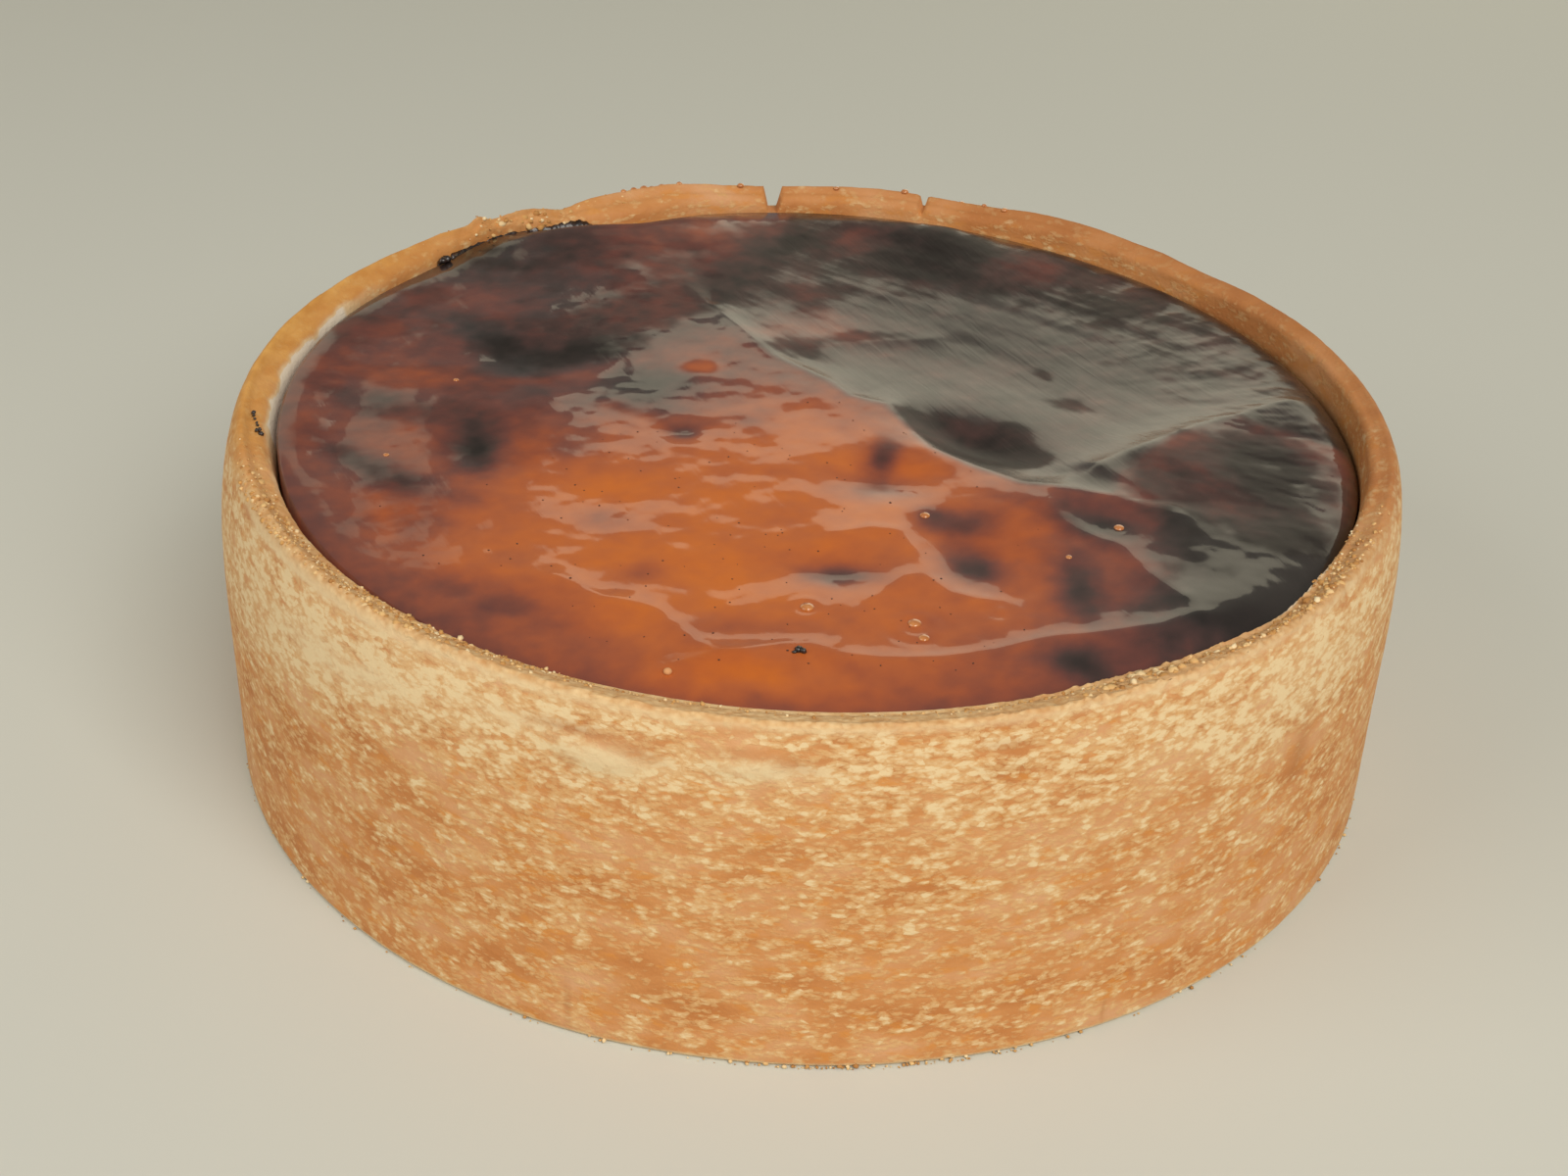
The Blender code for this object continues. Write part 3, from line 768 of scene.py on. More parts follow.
def case_outward(case, crest, crumb_zone, grit, lumps, points):
    """How far each point of the case moves out: the uneven lean, the torn inside and the blistered wall."""
    out = case.inner * (cavity_radius(case.angle) - CAVITY_RADIUS)
    leaning = np.minimum(case.leaned, LEAN_DEPTH) * (1 - ease(case.inner, 0, 0.35))
    out -= np.where(case.leans, leaning * round_lumps(case.angle, LEANS), 0)
    uneven = LUMP_OUT * lumps + (GRIT_OUT + GRIT_OUT_TRIMMED * case.trimmed) * grit
    out += case.above * uneven * np.minimum(1, case.inner * 3)
    out -= GRIT_IN_TORN * case.torn * crumb_zone * np.clip(grit + 0.2, 0, 1)
    standing = np.clip(1 - case.leaned / LEAN_DEPTH, 0, 1)
    out += np.where(case.z > 0.01, wall_relief(case.angle, case.z, points), 0) * standing
    return out + crest * CREST_SHARPENING


def make_case(material):
    """The pastry case, with its uneven rim, splits, blisters and crumbly texture in the mesh."""
    piece = wrapped_section("baked_case", case_section(), CASE_STEPS, material)
    points = read_points(piece.data)
    case = case_zones(points)
    grit, lumps = rough(points, *GRIT), rough(points, *LUMPS)
    crumb_zone = case.above * np.maximum(case.inner, 0.8 * bell((case.leaned - CREST_AT) / 1.2))
    crest = bell((case.leaned - CREST_AT) / CREST_WIDTH) * case.above * case.trimmed
    height = case_height(case, crest, crumb_zone, grit, lumps)
    out = case_outward(case, crest, crumb_zone, grit, lumps, points)
    radius = case.radius + np.where(case.radius > CASE_RADIUS / 2, out, 0)
    write_points(piece.data, round_places(radius, case.angle, height))
    # The bake layer holds browning and painted shade together
    for name, share in (
        ("cream", cream_share), ("wash", wash_share), ("bake", bake_and_shade_share), ("crumbly", crumbly_share),
        ("golden", golden_share),
    ):
        write_layer(piece.data, name, share(case))
    return piece


def wall_relief(angle, z, points):
    """How far the outside of the wall stands out: blisters, a slow waviness and a flaky surface."""
    out = np.zeros_like(z)
    for at, middle, width, tall, rise in WALL_BLISTERS:
        across = np.radians(apart(angle, at)) * CASE_RADIUS / (width / 2)
        up = (z - middle) / (tall / 2)
        out += rise * bell(np.hypot(across, up) ** 2)
    flat = points * np.array((1, 1, FLAKE_FLATNESS))
    out += WAVE_HEIGHT * rough(points, *WAVES) + FLAKE_HEIGHT * rough(flat, *FLAKES)
    return np.minimum(out, WALL_MOST) - WALL_LET_IN


def floury_band(case):
    """The floury band under the rim, from 0 to 1. It reaches furthest down at the left and the right."""
    low = BAND_LOW - BAND_DIP * round_lumps(case.angle, BAND_DIPS)
    return ease(case.z, low, low + BAND_FADE) * (1 - BAND_LOSS * ease(case.z, *BAND_LOST))


def inner_bloom(case):
    """The flour left on the inside of the rim, with a ragged upper edge, from 0 to 1."""
    around = np.radians(case.angle) * CAVITY_RADIUS
    edge = BLOOM_EDGE + BLOOM_RAGGED * rough(flat_places(around, np.zeros_like(around)), *BLOOM_GRAIN)
    share = np.clip(round_lumps(case.angle, INNER_BLOOMS), 0, 1)
    reach = ease(case.inner, edge - BLOOM_SOFTNESS, edge + BLOOM_SOFTNESS)
    return share * reach * ease(case.z, *BLOOM_FOOT)


def cream_share(case):
    """How densely the case is flecked with flour, from 0 to 1."""
    strength = BAND_LEAST + round_lumps(case.angle, CREAM_BANDS)
    wall = WALL_FLECKS + UPPER_FLECKS * ease(case.z, *UPPER_FLECKS_FROM)
    wall += BAND_FLECKS * floury_band(case) * strength
    wall += patches(case.angle, case.z, WALL_MARKS)
    rim = RIM_FLECKS + FRONT_FLECKS * bell(apart(case.angle, FRONT_FLECKS_AT) / FRONT_FLECKS_SPREAD)
    return np.clip(np.where(case.is_outside, wall, rim), 0, 1)


def wash_share(case):
    """How much of the case is covered in an even floury bloom, from 0 to 1."""
    wall = UPPER_BLOOM * ease(case.z, *UPPER_BLOOM_FROM)
    wall += BAND_BLOOM * floury_band(case) * round_lumps(case.angle, CREAM_BANDS)
    wall += patches(case.angle, case.z, WALL_BLOOMS)
    cracked = CRACK_LEAST + CRACK_MORE * bell(apart(case.angle, CRACK_AT) / CRACK_SPREAD)
    wall += cracked * bell((case.leaned - CREST_AT) / CRACK_WIDTH) * case.trimmed
    outside = np.clip(np.where(case.z < 1, FOOT_BLOOM, wall), 0, MOST_BLOOM)
    return np.where(case.is_outside, outside, inner_bloom(case))


def bake_and_shade_share(case):
    """How brown the case is, from 0 to 1: browning along the rim, painted shade in the trough inside it, and
    browning and painted shade over the blisters.
    """
    # Painted shade: the rim's inner face on the right, down by the custard, is darkened where the trough lies
    # in shade
    trough_shade = TROUGH_PAINTED_SHADE * ease(case.inner, 0.75, 1) * bell(apart(case.angle, TROUGH_AT) / TROUGH_SPREAD)
    rim = case.above * (RIM_BROWNING + round_lumps(case.angle, RIM_BROWNINGS)) + trough_shade
    # Browning with painted shade over the blisters' top edges, and the stain and cracks
    wall = np.where(case.inner > 0, 0, patches(case.angle, case.z, WALL_BROWNING_AND_SHADE))
    return np.clip(rim + wall, 0, 1)


def crumbly_share(case):
    """How crumbly the rim's top is, from 0 to 1: where it was trimmed, and less where it is torn."""
    on_rim = case.above * ease(case.leaned, CREST_AT - 0.6, CREST_AT + 0.4)
    return np.clip(1.3 * on_rim * np.maximum(case.trimmed, 0.4 * case.torn), 0, 1)


def golden_share(case):
    """How golden the rim's smooth roll is, from 0 to 1, but for the flour on its inside."""
    golden = case.above * bell(apart(case.angle, GOLDEN_AT) / GOLDEN_SPREAD) * (1 - case.trimmed)
    return golden * (1 - inner_bloom(case))


def rounded_grid(material):
    """A square grid made into a disc of radius 1, its edge carried down for the side and closed below."""
    made = bmesh.new()
    bmesh.ops.create_grid(made, x_segments=CUSTARD_CELLS, y_segments=CUSTARD_CELLS, size=1)
    for vertex in made.verts:
        u, v = vertex.co.x, vertex.co.y
        vertex.co.x = u * math.sqrt(1 - v * v / 2)
        vertex.co.y = v * math.sqrt(1 - u * u / 2)
    edge = [e for e in made.edges if e.is_boundary]
    for ring in range(SIDE_RINGS):
        lower = bmesh.ops.extrude_edge_only(made, edges=edge)["geom"]
        for vertex in (v for v in lower if isinstance(v, bmesh.types.BMVert)):
            vertex.co.z = -(ring + 1)
        edge = [e for e in lower if isinstance(e, bmesh.types.BMEdge)]
    bmesh.ops.holes_fill(made, edges=[e for e in made.edges if e.is_boundary])
    bmesh.ops.recalc_face_normals(made, faces=made.faces)
    return mesh_object("custard_skin", made, material)


def make_custard(material):
    """The custard: its skin wavy, wrinkled and rolled down at the edge, its side and underside plain."""
    piece = rounded_grid(material)
    points = read_points(piece.data) * MM
    x, y, level = points.T
    radius = cavity_radius(angle_of(x, y)) - FIT_GAP
    x, y = x * radius, y * radius
    top = custard_height(x, y)
    floor = FLOOR_THICKNESS + FIT_GAP
    z = top + (floor - top) * (-level / SIDE_RINGS)
    write_points(piece.data, np.column_stack((x, y, z)))
    write_layer(piece.data, "browning", np.where(level < 0, 0.3, browning(x, y)))
    write_layer(piece.data, "dry", dryness(x, y))
    write_layer(piece.data, "burnt", burnt_share(x, y))
    return piece


def join(node, **links):
    """Joins sockets to the node's inputs. An underscore stands for a space, and i and a number for the input
    of that number."""
    for key, socket in links.items():
        name = int(key[1:]) if key[0] == "i" and key[1:].isdigit() else key.replace("_", " ")
        node.id_data.links.new(socket, node.inputs[name])


def add_node(tree, kind, settings=None, output=0, **links):
    """Adds a node and returns one of its outputs. kind is its type without the leading ShaderNode. settings
    are its own properties, its ramp's stops as (position, hex colour), or input values by name or number."""
    node = tree.nodes.new("ShaderNode" + kind)
    for key, value in (settings or {}).items():
        if key == "stops":
            elements = node.color_ramp.elements
            for index, (position, code) in enumerate(value):
                element = elements[index] if index < 2 else elements.new(position)
                element.position, element.color = position, linear(code)
        elif isinstance(key, str) and hasattr(node, key):
            setattr(node, key, value)
        else:
            node.inputs[key].default_value = value
    join(node, **links)
    return node.outputs[output] if node.outputs else None


def new_material(name, **finish):
    """A material whose shader has these plain values. Returns it, what adds a node to it, and its shader."""
    material = bpy.data.materials.new(name)
    material.use_nodes = True
    shader = material.node_tree.nodes["Principled BSDF"]
    for key, value in finish.items():
        shader.inputs[key.replace("_", " ")].default_value = value
    return material, partial(add_node, material.node_tree), shader


def read_layers(add, *names):
    """The values that the mesh stores for each point under these names."""
    return [add("Attribute", {"attribute_name": name}, "Fac") for name in names]


def per_metre(size):
    """The Scale of a pattern whose grains are this many millimetres across."""
    return 1 / (size * MM)


# Sizes across of what the finishes show: the shortcrust's butter blotches and flour, the rim's crumbs, the
# skin's sugar blots and bristle marks, and the grain of the small pieces
BLOTCH = 14.3
BUTTER = 5.26
CHAIN = 3.64
FLOUR_BIT = 1.39
RIM_GRAIN = 1.11
FINE_GRAIN = 0.625
SUGAR_BLOT = 3.85
BRISTLE = 1.11
CRUMB_GRAIN = 0.417
SUGAR_GRAIN = 1.11
GLAZE_RIPPLE = 1.43
SEED_GRAIN = 0.333

# Settings that several nodes share: colours mixed by a factor, and a smooth step from 0 to 1
COLOUR_MIX = {"data_type": "RGBA", "blend_type": "MIX"}
SMOOTH_STEP = {"interpolation_type": "SMOOTHSTEP"}

# The bristle marks in the glaze run this way and are this many times longer than they are wide
BRUSH_TURN = -62
BRUSH_DRAW = 14


def shortcrust():
    """Baked shortcrust: rubbed-in butter dough pressed to the ring. Flour specks stay pale and lie drawn out
    along the wall where the dough was rolled, and butter browns the ground between them."""
    material, add, shader = new_material("baked shortcrust", Specular_IOR_Level=0.35)
    place = add("TexCoord", output="Object")
    rolled = add("Mapping", {"Scale": (1, 1, 2.4)}, Vector=place)
    flattened = add("Mapping", {"Scale": (1, 1, 2)}, Vector=place)
    cream, wash, bake, crumbly, golden = read_layers(add, "cream", "wash", "bake", "crumbly", "golden")

    # Ground: dough fried in its own butter, in blotches 5 to 20 mm across, some more orange than others
    blotches = add("TexNoise", {"Scale": per_metre(BLOTCH), "Detail": 4}, Vector=rolled)
    ground = add("ValToRGB", {"stops": ((0.32, "#C27D42"), (0.7, "#DBA677"), (0.5, "#D19054"))}, Fac=blotches)
    buttery = add("TexNoise", {"Scale": per_metre(BUTTER), "Detail": 3}, Vector=rolled)
    orange = add("MapRange", {
        **SMOOTH_STEP, "From Min": 0.54, "From Max": 0.68, "To Max": 0.5}, Value=buttery)

    # Flecks: rounded bits of flour about 1 mm across, strung together in ragged chains 2 to 5 mm long
    chains = add("TexNoise", {
        "Scale": per_metre(CHAIN), "Detail": 5, "Roughness": 0.68, "Distortion": 0.3}, Vector=flattened)
    bits = add("TexVoronoi", {"Scale": per_metre(FLOUR_BIT)}, Vector=flattened)
    picked = add("Math", {"operation": "MULTIPLY_ADD", 1: 0.24}, i0=bits.node.outputs["Color"], i2=chains)
    rounded = add("Math", {"operation": "MULTIPLY_ADD", 1: -0.16}, i0=bits, i2=picked)
    floury = add("Math", {"operation": "MULTIPLY_ADD", 1: 0.36}, i0=cream, i2=rounded)
    halo = add("MapRange", {**SMOOTH_STEP, "From Min": 0.62, "From Max": 0.76, "To Max": 0.75}, Value=floury)
    core = add("MapRange", {**SMOOTH_STEP, "From Min": 0.74, "From Max": 0.92, "To Max": 0.85}, Value=floury)

    # Bloom: an even dusting of flour, thin between the chains, and raw flour where it lies thickest
    uneven = add("Math", {"operation": "MULTIPLY_ADD", 1: 1.6, 2: -0.5}, i0=chains)
    dusted = add("Math", {"operation": "ADD", "use_clamp": True}, i0=wash, i1=uneven)
    dusted = add("Math", {"operation": "MULTIPLY"}, i0=dusted, i1=wash)
    raw = add("MapRange", {**SMOOTH_STEP, "From Min": 0.9, "From Max": 1, "To Max": 0.8}, Value=dusted)
    colour = ground
    for share, code in (
        (orange, "#DA8F3A"), (halo, "#DCAF74"), (core, "#EDD5A6"), (dusted, "#E8CFA2"), (raw, "#EFE8D6"),
    ):
        colour = add("Mix", {**COLOUR_MIX, 7: linear(code)}, 2, i0=share, i6=colour)

    # Rims: crumbs where the dough was trimmed, and a smooth browned or golden skin elsewhere. The brown tone
    # also paints shade into the trough inside the rim and over the blisters' top edges
    grains = add("TexVoronoi", {"Scale": per_metre(RIM_GRAIN)}, Vector=place)
    crumb_tone = add("ValToRGB", {"stops": ((0.1, "#E8C690"), (0.9, "#C6955C"))}, Fac=grains)
    crumb_share = add("Math", {"operation": "MULTIPLY", 1: 0.7}, i0=crumbly)
    brown_and_shade_tone = add("ValToRGB", {"stops": ((0.35, "#A4683A"), (0.65, "#B87A45"))}, Fac=blotches)
    yellow = add("ValToRGB", {"stops": ((0.35, "#CB8C3C"), (0.65, "#DFA858"))}, Fac=buttery)
    for share, tone in ((crumb_share, crumb_tone), (bake, brown_and_shade_tone), (golden, yellow)):
        colour = add("Mix", COLOUR_MIX, 2, i0=share, i6=colour, i7=tone)

    fine = add("TexNoise", {"Scale": per_metre(FINE_GRAIN), "Detail": 2}, Vector=place)
    flaky = add("Math", {"operation": "MULTIPLY_ADD", 1: 0.6}, i0=halo, i2=fine)
    pits = add("Math", {"operation": "MULTIPLY"}, i0=grains, i1=crumbly)
    relief = add("Math", {"operation": "MULTIPLY_ADD", 1: -1.2}, i0=pits, i2=flaky)
    bump = add("Bump", {"Strength": 0.5, "Distance": 0.2 * MM}, Height=relief)
    rougher = add("MapRange", {"From Min": 0.3, "From Max": 0.7, "To Min": 0.62, "To Max": 0.85}, Value=fine)
    join(shader, Base_Color=colour, Normal=bump, Roughness=rougher)
    return material


def glazed_skin():
    """Custard skin, scorched by a hot oven from amber to black, under brushed clear glaze. Sugar browns in
    blots. The glaze is wet and smooth on the amber part, brushed out on the burnt part, and thin where the
    skin is dry."""
    material, add, shader = new_material(
        "scorched custard skin under glaze", Roughness=0.5, Specular_IOR_Level=0.2, Coat_IOR=1.42)
    place = add("TexCoord", output="Object")
    dark, dry, burnt = read_layers(add, "browning", "dry", "burnt")

    blots = add("TexNoise", {"Scale": per_metre(SUGAR_BLOT), "Detail": 4, "Roughness": 0.6}, Vector=place)
    centred = add("Math", {"operation": "MULTIPLY_ADD", 1: 0.12, 2: -0.06}, i0=blots)
    level = add("Math", {"operation": "ADD"}, i0=dark, i1=centred)
    colour = add("ValToRGB", {"stops": (
        (0, "#CC6C1E"), (1, "#201A18"), (0.18, "#BA612A"), (0.36, "#A3532E"), (0.5, "#884732"),
        (0.65, "#683A32"), (0.8, "#46302D"), (0.92, "#2E2422"))}, Fac=level)

    glazed = add("MapRange", {**SMOOTH_STEP, "To Min": 1, "To Max": 0.1}, Value=dry)
    gloss = add("MapRange", {**SMOOTH_STEP, "To Min": 0.06, "To Max": 0.2}, Value=burnt)
    streaks = add("Mapping", {
        "vector_type": "TEXTURE", "Rotation": (0, 0, math.radians(BRUSH_TURN)),
        "Scale": (BRUSH_DRAW, 1, 1)}, Vector=place)
    brushed = add("TexNoise", {"Scale": per_metre(BRISTLE), "Detail": 4, "Distortion": 0.8}, Vector=streaks)
    depth = add("Math", {"operation": "ADD", 1: 0.25}, i0=burnt)
    strokes = add("Math", {"operation": "MULTIPLY"}, i0=brushed, i1=depth)
    bump = add("Bump", {"Strength": 0.16, "Distance": 0.2 * MM}, Height=strokes)
    join(shader, Base_Color=colour, Coat_Weight=glazed, Coat_Roughness=gloss, Coat_Normal=bump, Normal=bump)
    return material


def toasted_crumbs():
    """Loose bits of shortcrust: matt, and each toasted a little differently."""
    material, add, shader = new_material("toasted shortcrust crumbs", Roughness=0.8, Specular_IOR_Level=0.3)
    tone, = read_layers(add, "tone")
    colour = add("ValToRGB", {"stops": (
        (0, "#AF7A42"), (1, "#F2DFB4"), (0.4, "#CB9A5A"), (0.75, "#E2BC80"))}, Fac=tone)
    join(shader, Base_Color=colour)
    grained(add, shader, CRUMB_GRAIN, 2, 0.5, 0.1)
    return material


def grained(add, shader, size, detail, strength, depth):
    """Gives a finish a fine relief: grains of this size, and this deep in mm. Returns their pattern."""
    place = add("TexCoord", output="Object")
    grain = add("TexNoise", {"Scale": per_metre(size), "Detail": detail}, Vector=place)
    bump = add("Bump", {"Strength": strength, "Distance": depth * MM}, Height=grain)
    join(shader, Normal=bump)
    return grain


def burnt_sugar():
    """Burnt sugar: a black blistered crust with a hard shine."""
    material, add, shader = new_material(
        "burnt sugar crust", Roughness=0.35, Coat_Weight=0.4, Coat_Roughness=0.2)
    grain = grained(add, shader, SUGAR_GRAIN, 4, 0.8, 0.3)
    join(shader, Base_Color=add("ValToRGB", {"stops": ((0.35, "#15110F"), (0.75, "#3A2822"))}, Fac=grain))
    return material


def apricot_glaze():
    """Set apricot glaze, drawn up into beads: amber like the skin under it, and it shines like glass."""
    material, add, shader = new_material("set apricot glaze", Coat_Weight=1, Coat_Roughness=0.03)
    ripple = grained(add, shader, GLAZE_RIPPLE, 2, 0.2, 0.1)
    join(shader, Base_Color=add("ValToRGB", {"stops": ((0.35, "#B8703A"), (0.65, "#CE8A50"))}, Fac=ripple))
    join(shader, Roughness=add("MapRange", {"To Min": 0.02, "To Max": 0.08}, Value=ripple))
    return material


def vanilla_seed():
    """Vanilla seeds: tiny, dark brown and matt."""
    material, add, shader = new_material("vanilla seeds", Roughness=0.6)
    grain = grained(add, shader, SEED_GRAIN, 2, 0.4, 0.1)
    join(shader, Base_Color=add("ValToRGB", {"stops": ((0.3, "#2A1710"), (0.7, "#4A2C1C"))}, Fac=grain))
    return material


def scattered_pebbles(name, places, sizes, flatness, seed, material):
    """One mesh of small uneven lumps: one at each place, in mm, of that radius, turned at random. flatness is
    how low they are for their width. The lumps are made by doubling, so their count is a power of two.
    Returns the object and a random number from 0 to 1 for each corner of its mesh."""
    made = bmesh.new()
    bmesh.ops.create_icosphere(made, subdivisions=1, radius=1)
    while len(made.verts) < PEBBLE_CORNERS * len(places):
        bmesh.ops.duplicate(made, geom=made.verts[:] + made.edges[:] + made.faces[:])
    piece = mesh_object(name, made, material)
    draw = np.random.default_rng(seed)
    corners = read_points(piece.data).reshape(len(places), PEBBLE_CORNERS, 3) * MM
    knocked = draw.uniform(0.7, 1.25, (len(places), PEBBLE_CORNERS, 1))
    corners *= knocked * draw.uniform(0.75, 1.2, (len(places), 1, 3))
    spin = draw.uniform(0, math.tau, (len(places), 1))
    lean = draw.uniform(0, math.tau, (len(places), 1))
    x, y, z = corners[..., 0], corners[..., 1], corners[..., 2]
    x, z = x * np.cos(lean) - z * np.sin(lean), x * np.sin(lean) + z * np.cos(lean)
    x, y = x * np.cos(spin) - y * np.sin(spin), x * np.sin(spin) + y * np.cos(spin)
    turned = np.stack((x, y, z * flatness), axis=2) * np.asarray(sizes)[:, None, None]
    write_points(piece.data, (turned + np.asarray(places)[:, None, :]).reshape(-1, 3))
    return piece, np.repeat(draw.uniform(0, 1, len(places)), PEBBLE_CORNERS)


def make_crumbs(material, case):
    """Crumbs along the cut front of the rim, where it is torn, and round the foot of the wall."""
    points = read_points(case.data)
    x, y, z = points.T
    radius, angle = np.hypot(x, y), angle_of(x, y)
    torn = np.clip(round_lumps(angle, TORN_EDGES), 0, 1)
    on_top = (radius > CRUMB_LEDGE[0]) & (radius < CRUMB_LEDGE[1]) & (z > CRUMB_LEDGE_HEIGHT)
    weight = np.where(on_top, trimmed_share(angle) * (1 + torn) + 0.2 * torn, 0)
    heaped = 0.15 + 2 * bell(apart(angle, FOOT_CRUMBS_AT) / FOOT_CRUMBS_SPREAD)
    weight += np.where((z < 0.8) & (radius > CASE_RADIUS - 1), heaped, 0)
    draw = np.random.default_rng(29)
    chosen = draw.choice(len(points), CRUMB_COUNT, replace=False, p=weight / weight.sum())
    sizes = draw.gamma(4, 0.05, CRUMB_COUNT).clip(0.1, 0.5) * (1 + 1.1 * torn[chosen] * on_top[chosen])
    places = points[chosen] + draw.normal(0, 0.15, (CRUMB_COUNT, 3))
    low = places[:, 2] < 2
    places[:, :2] *= np.where(low, (CASE_RADIUS - 0.1 - sizes) / radius[chosen], 1)[:, None]
    places[:, 2] = np.where(low, sizes * 1.1, places[:, 2] - 0.45 * sizes)
    piece, tone = scattered_pebbles("rim_crumbs", places, sizes, 0.8, 31, material)
    write_layer(piece.data, "tone", tone)
    return piece


def resting_places(case, table):
    """Places (x, y, z) for (x, y, lift, radius) rows: on the custard, or else on the rim's nearest point."""
    rim = read_points(case.data)
    rim = rim[(rim[:, 2] > 54.5) & (np.hypot(rim[:, 0], rim[:, 1]) > 88)]
    places = []
    for x, y, lift, _ in table:
        if math.hypot(x, y) < float(cavity_radius(angle_of(x, y))) - FIT_GAP - 0.2:
            z = float(custard_height(np.array([float(x)]), np.array([float(y)]))[0])
        else:
            z = rim[np.argmin(np.hypot(rim[:, 0] - x, rim[:, 1] - y)), 2]
        places.append((x, y, z + lift))
    return np.array(places)


def make_beads(name, case, table, flatness, material):
    """Smooth round beads for (x, y, lift, radius) rows, lower than they are wide."""
    made = bmesh.new()
    for place, row in zip(resting_places(case, table), table):
        stretch = Matrix.Translation(Vector(place) * MM) @ Matrix.Diagonal((1, 1, flatness, 1))
        bmesh.ops.create_icosphere(made, subdivisions=3, radius=row[3] * MM, matrix=stretch)
    piece = mesh_object(name, made, material)
    write_points(piece.data, read_points(piece.data))
    return piece


def make_burnt_bits(case, material):
    """Black burnt bits: the knob on the rim, the thin fleck on the rim's left, and a speck on the custard."""
    places, sizes = resting_places(case, BURNT_BITS), [radius for *_, radius in BURNT_BITS]
    return scattered_pebbles("burnt_bits", places, sizes, 0.9, 37, material)[0]


def make_seeds(material):
    """Vanilla seeds that show through the palest of the custard's skin."""
    draw = np.random.default_rng(43)
    spots = draw.uniform(-80, 80, (6000, 2))
    x, y = spots.T
    amber = (browning(x, y) < SEED_DARKEST) & (np.hypot(x, y) < SEED_REACH) & (y < SEED_BACK)
    x, y = x[amber][:SEED_COUNT], y[amber][:SEED_COUNT]
    places = np.column_stack((x, y, custard_height(x, y) + 0.02))
    sizes = draw.uniform(*SEED_SIZES, SEED_COUNT)
    return scattered_pebbles("vanilla_seeds", places, sizes, 0.5, 47, material)[0]


def make_fringe(material):
    """The burnt skin that climbed the inside of the rim at the back left: a thin ragged crust. Its front goes
    up over the pastry, and its back goes down again inside it."""
    start, end = FRINGE_SPAN
    made = bmesh.new()
    bmesh.ops.create_grid(made, x_segments=FRINGE_STEPS, y_segments=FRINGE_ROWS, size=0.5)
    piece = mesh_object("burnt_fringe", made, material)
    share = read_points(piece.data) * MM + 0.5
    angle = start + (end - start) * share[:, 0]
    ragged = FRINGE_RAGGED * rough(flat_places(angle, np.zeros_like(angle)), 1.6, 53, 4)
    climb = np.clip(round_lumps(angle, FRINGE_CLIMBS) + ragged, 0, 5)
    climb *= ease(share[:, 0], 0, FRINGE_FADE) * ease(1 - share[:, 0], 0, FRINGE_FADE)
    up = 1 - np.abs(2 * share[:, 1] - 1)
    height = FRINGE_FOOT + (climb + FRINGE_LIFT) * up
    bulge = 0.5 * rough(np.column_stack((angle * 1.6, height, share[:, 1])), 1.5, 59, 2)
    over = np.maximum(height - FRINGE_BEND, 0) * FRINGE_SLOPE
    front = ease(0.5 - share[:, 1], -0.08, 0.08)
    radius = cavity_radius(angle) + 0.35 + over - front * (0.75 + bulge * up)
    write_points(piece.data, round_places(radius, angle, height))
    return piece


def plain_floor():
    """Pale matt studio floor."""
    made = bmesh.new()
    bmesh.ops.create_grid(made, x_segments=1, y_segments=1, size=4)
    material, _, _ = new_material("pale matt studio floor", Base_Color=linear("#CED0C6"), Roughness=0.9)
    floor = mesh_object("studio_floor", made, material)


def soft_panel(name, corners, strength, tint):
    """A flat glowing reflector, out of the camera's sight."""
    material = bpy.data.materials.new("soft white reflector")
    material.use_nodes = True
    tree = material.node_tree
    tree.nodes.clear()
    glow = add_node(tree, "Emission", {"Color": linear(tint), "Strength": strength})
    add_node(tree, "OutputMaterial", Surface=glow)
    made = bmesh.new()
    made.faces.new([made.verts.new(corner) for corner in corners])
    panel = mesh_object(name, made, material)
    panel.visible_camera = False


def soft_lamp(name, place, target, size, power, tint):
    """A square soft lamp that faces its target."""
    lamp = bpy.data.lights.new(name, "AREA")
    lamp.size = size
    lamp.energy = power
    lamp.color = linear(tint)[:3]
    holder = bpy.data.objects.new(name, lamp)
    holder.location = place
    holder.rotation_euler = (Vector(target) - Vector(place)).to_track_quat("-Z", "Y").to_euler()
    bpy.context.scene.collection.objects.link(holder)


# The pale reflectors behind the flan: corners (x, z) on an upright plane, and glow. The dark gap between
# them, low on the left, is what keeps that side of the glaze from shining
REFLECTOR_DISTANCE = 900
REFLECTOR_RIGHT = (
    (-150, 575), (215, 575), (235, 660), (900, 660), (900, 0), (40, 0), (20, 372), (-51, 433), (-61, 458),
    (-116, 466), (-150, 480),
)
REFLECTOR_LEFT = ((-1200, 640), (-235, 640), (-235, 440), (-300, 0), (-1200, 0))
REFLECTORS = (("reflector_right", REFLECTOR_RIGHT, 1.25), ("reflector_left", REFLECTOR_LEFT, 0.72))
REFLECTOR_TINT = "#FFF6DA"

# The soft lamps, which face the middle of the flan: name, place in metres, size, power
LAMPS = (("key_lamp", (0.45, -0.95, 1.05), 0.9, 17), ("fill_lamp", (-0.9, -0.5, 0.7), 0.8, 4.5))
LAMP_TINT = "#FFFAF4"
FLAN_MIDDLE = (0, 0, 0.04)
SURROUNDINGS_TINT = "#FFF8EE"
SURROUNDINGS_GLOW = 0.2


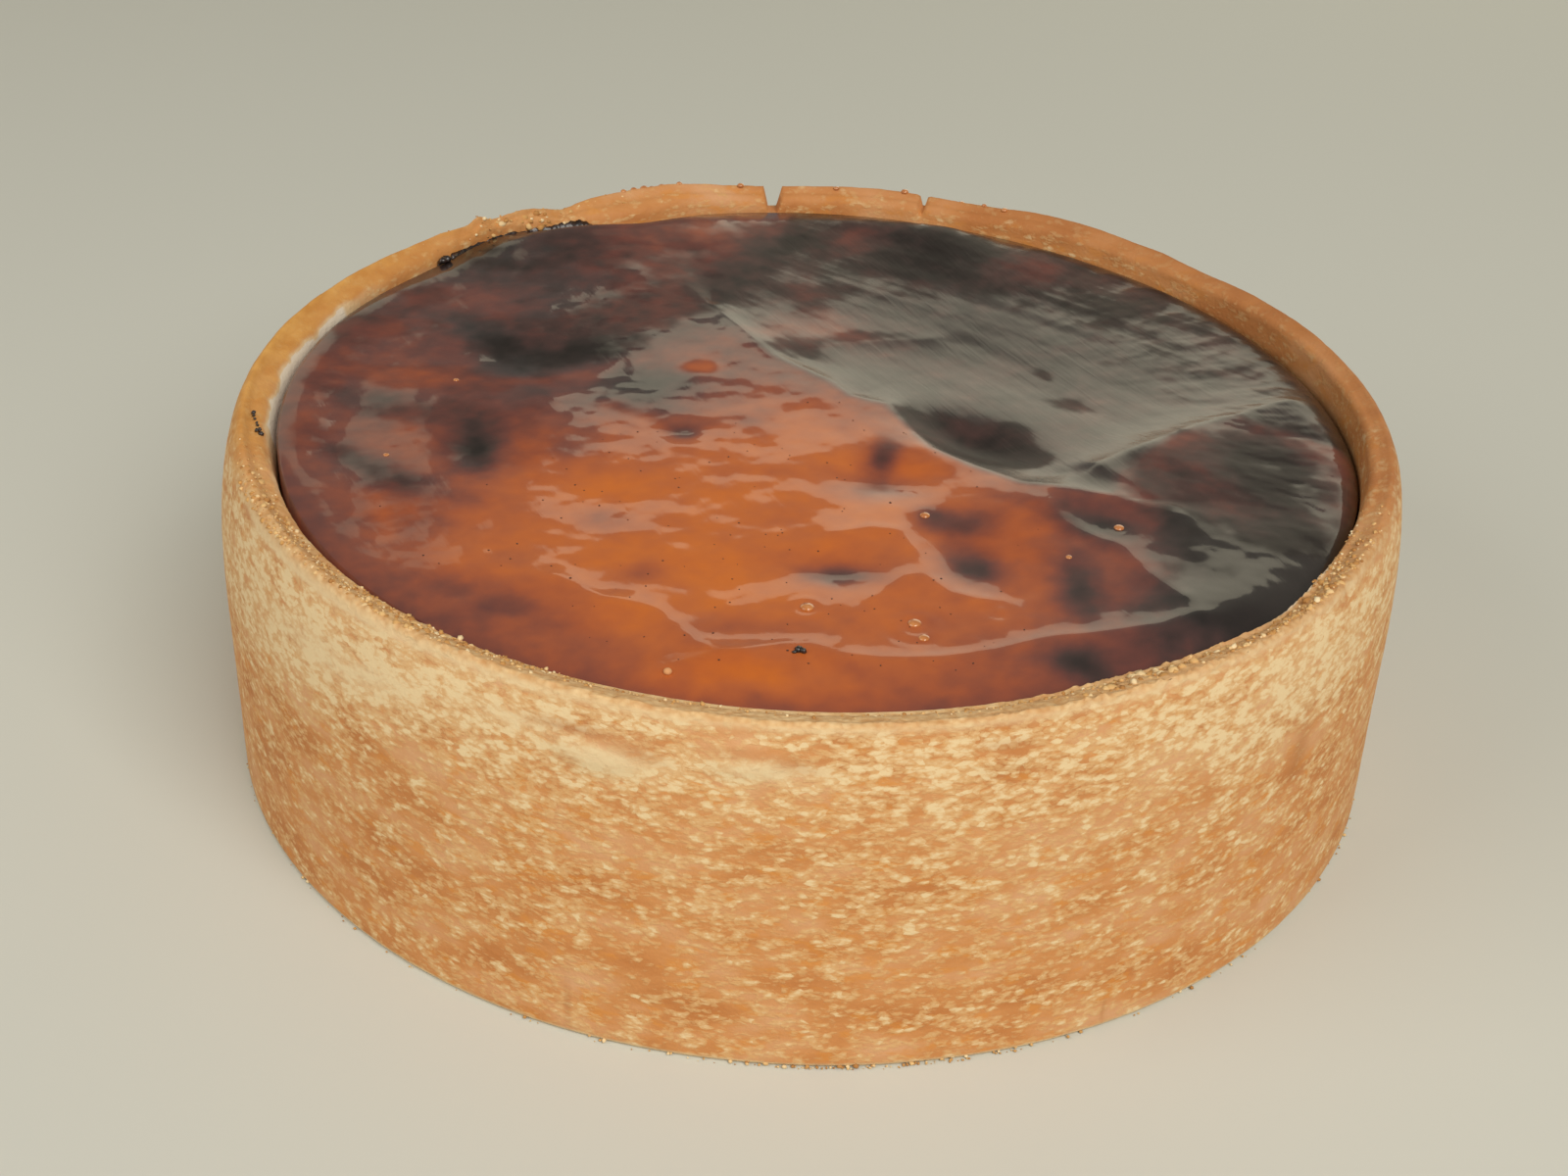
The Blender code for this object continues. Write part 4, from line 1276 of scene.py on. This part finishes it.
def light_the_stage():
    """Soft light from above the camera, pale reflectors behind, and dim surroundings."""
    world = bpy.data.worlds.new("dim studio")
    world.use_nodes = True
    glow = world.node_tree.nodes["Background"].inputs
    glow["Color"].default_value = linear(SURROUNDINGS_TINT)
    glow["Strength"].default_value = SURROUNDINGS_GLOW
    bpy.context.scene.world = world
    for name, place, size, power in LAMPS:
        soft_lamp(name, place, FLAN_MIDDLE, size, power, LAMP_TINT)
    for name, corners, glow in REFLECTORS:
        places = [(x * MM, REFLECTOR_DISTANCE * MM, z * MM) for x, z in corners]
        soft_panel(name, places, glow, REFLECTOR_TINT)


# The camera stands where the photograph was taken from
CAMERA_PLACE = (-3.9, -328.1, 216.1)
CAMERA_PITCH = 30.74
CAMERA_ROLL = 1.97
CAMERA_LENS = 49.5
SENSOR_WIDTH = 36


def place_camera():
    """A hand-held camera: it looks along +Y and down, and leans a little."""
    camera = bpy.data.cameras.new("camera")
    camera.lens = CAMERA_LENS
    camera.sensor_width = SENSOR_WIDTH
    camera.sensor_fit = "HORIZONTAL"
    camera.clip_start = 0.01
    holder = bpy.data.objects.new("camera", camera)
    pitched = Matrix.Rotation(math.radians(90 - CAMERA_PITCH), 4, "X")
    rolled = Matrix.Rotation(math.radians(CAMERA_ROLL), 4, "Z")
    holder.matrix_world = Matrix.Translation(Vector(CAMERA_PLACE) * MM) @ pitched @ rolled
    bpy.context.scene.collection.objects.link(holder)
    bpy.context.scene.camera = holder


def main():
    """Sets the camera and the stage, then makes the flan's pieces."""
    bpy.context.scene.view_settings.view_transform = "Standard"
    place_camera()
    plain_floor()
    light_the_stage()
    pastry, skin = shortcrust(), glazed_skin()

    case = make_case(pastry)
    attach(case, "root")
    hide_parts("pastry_case")

    crumbs = make_crumbs(toasted_crumbs(), case)
    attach(crumbs, "root")

    sugar, glaze = burnt_sugar(), apricot_glaze()
    for piece, slot in (
        (make_fringe(sugar), "browned_custard"), (make_burnt_bits(case, sugar), "browned_custard"),
        (make_beads("rim_glaze_beads", case, GLAZE_BEADS, 0.6, glaze), "browned_custard"),
        (make_beads("glaze_bubbles", case, BUBBLES, 0.45, glaze), "browned_custard"),
        (make_beads("pale_crumb", case, PALE_CRUMB, 0.8, pastry), "baked_pastry"),
        (make_seeds(vanilla_seed()), "browned_custard"),
    ):
        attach(piece, "root")

    custard = make_custard(skin)
    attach(custard, "root")
    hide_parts("custard_filling")


main()
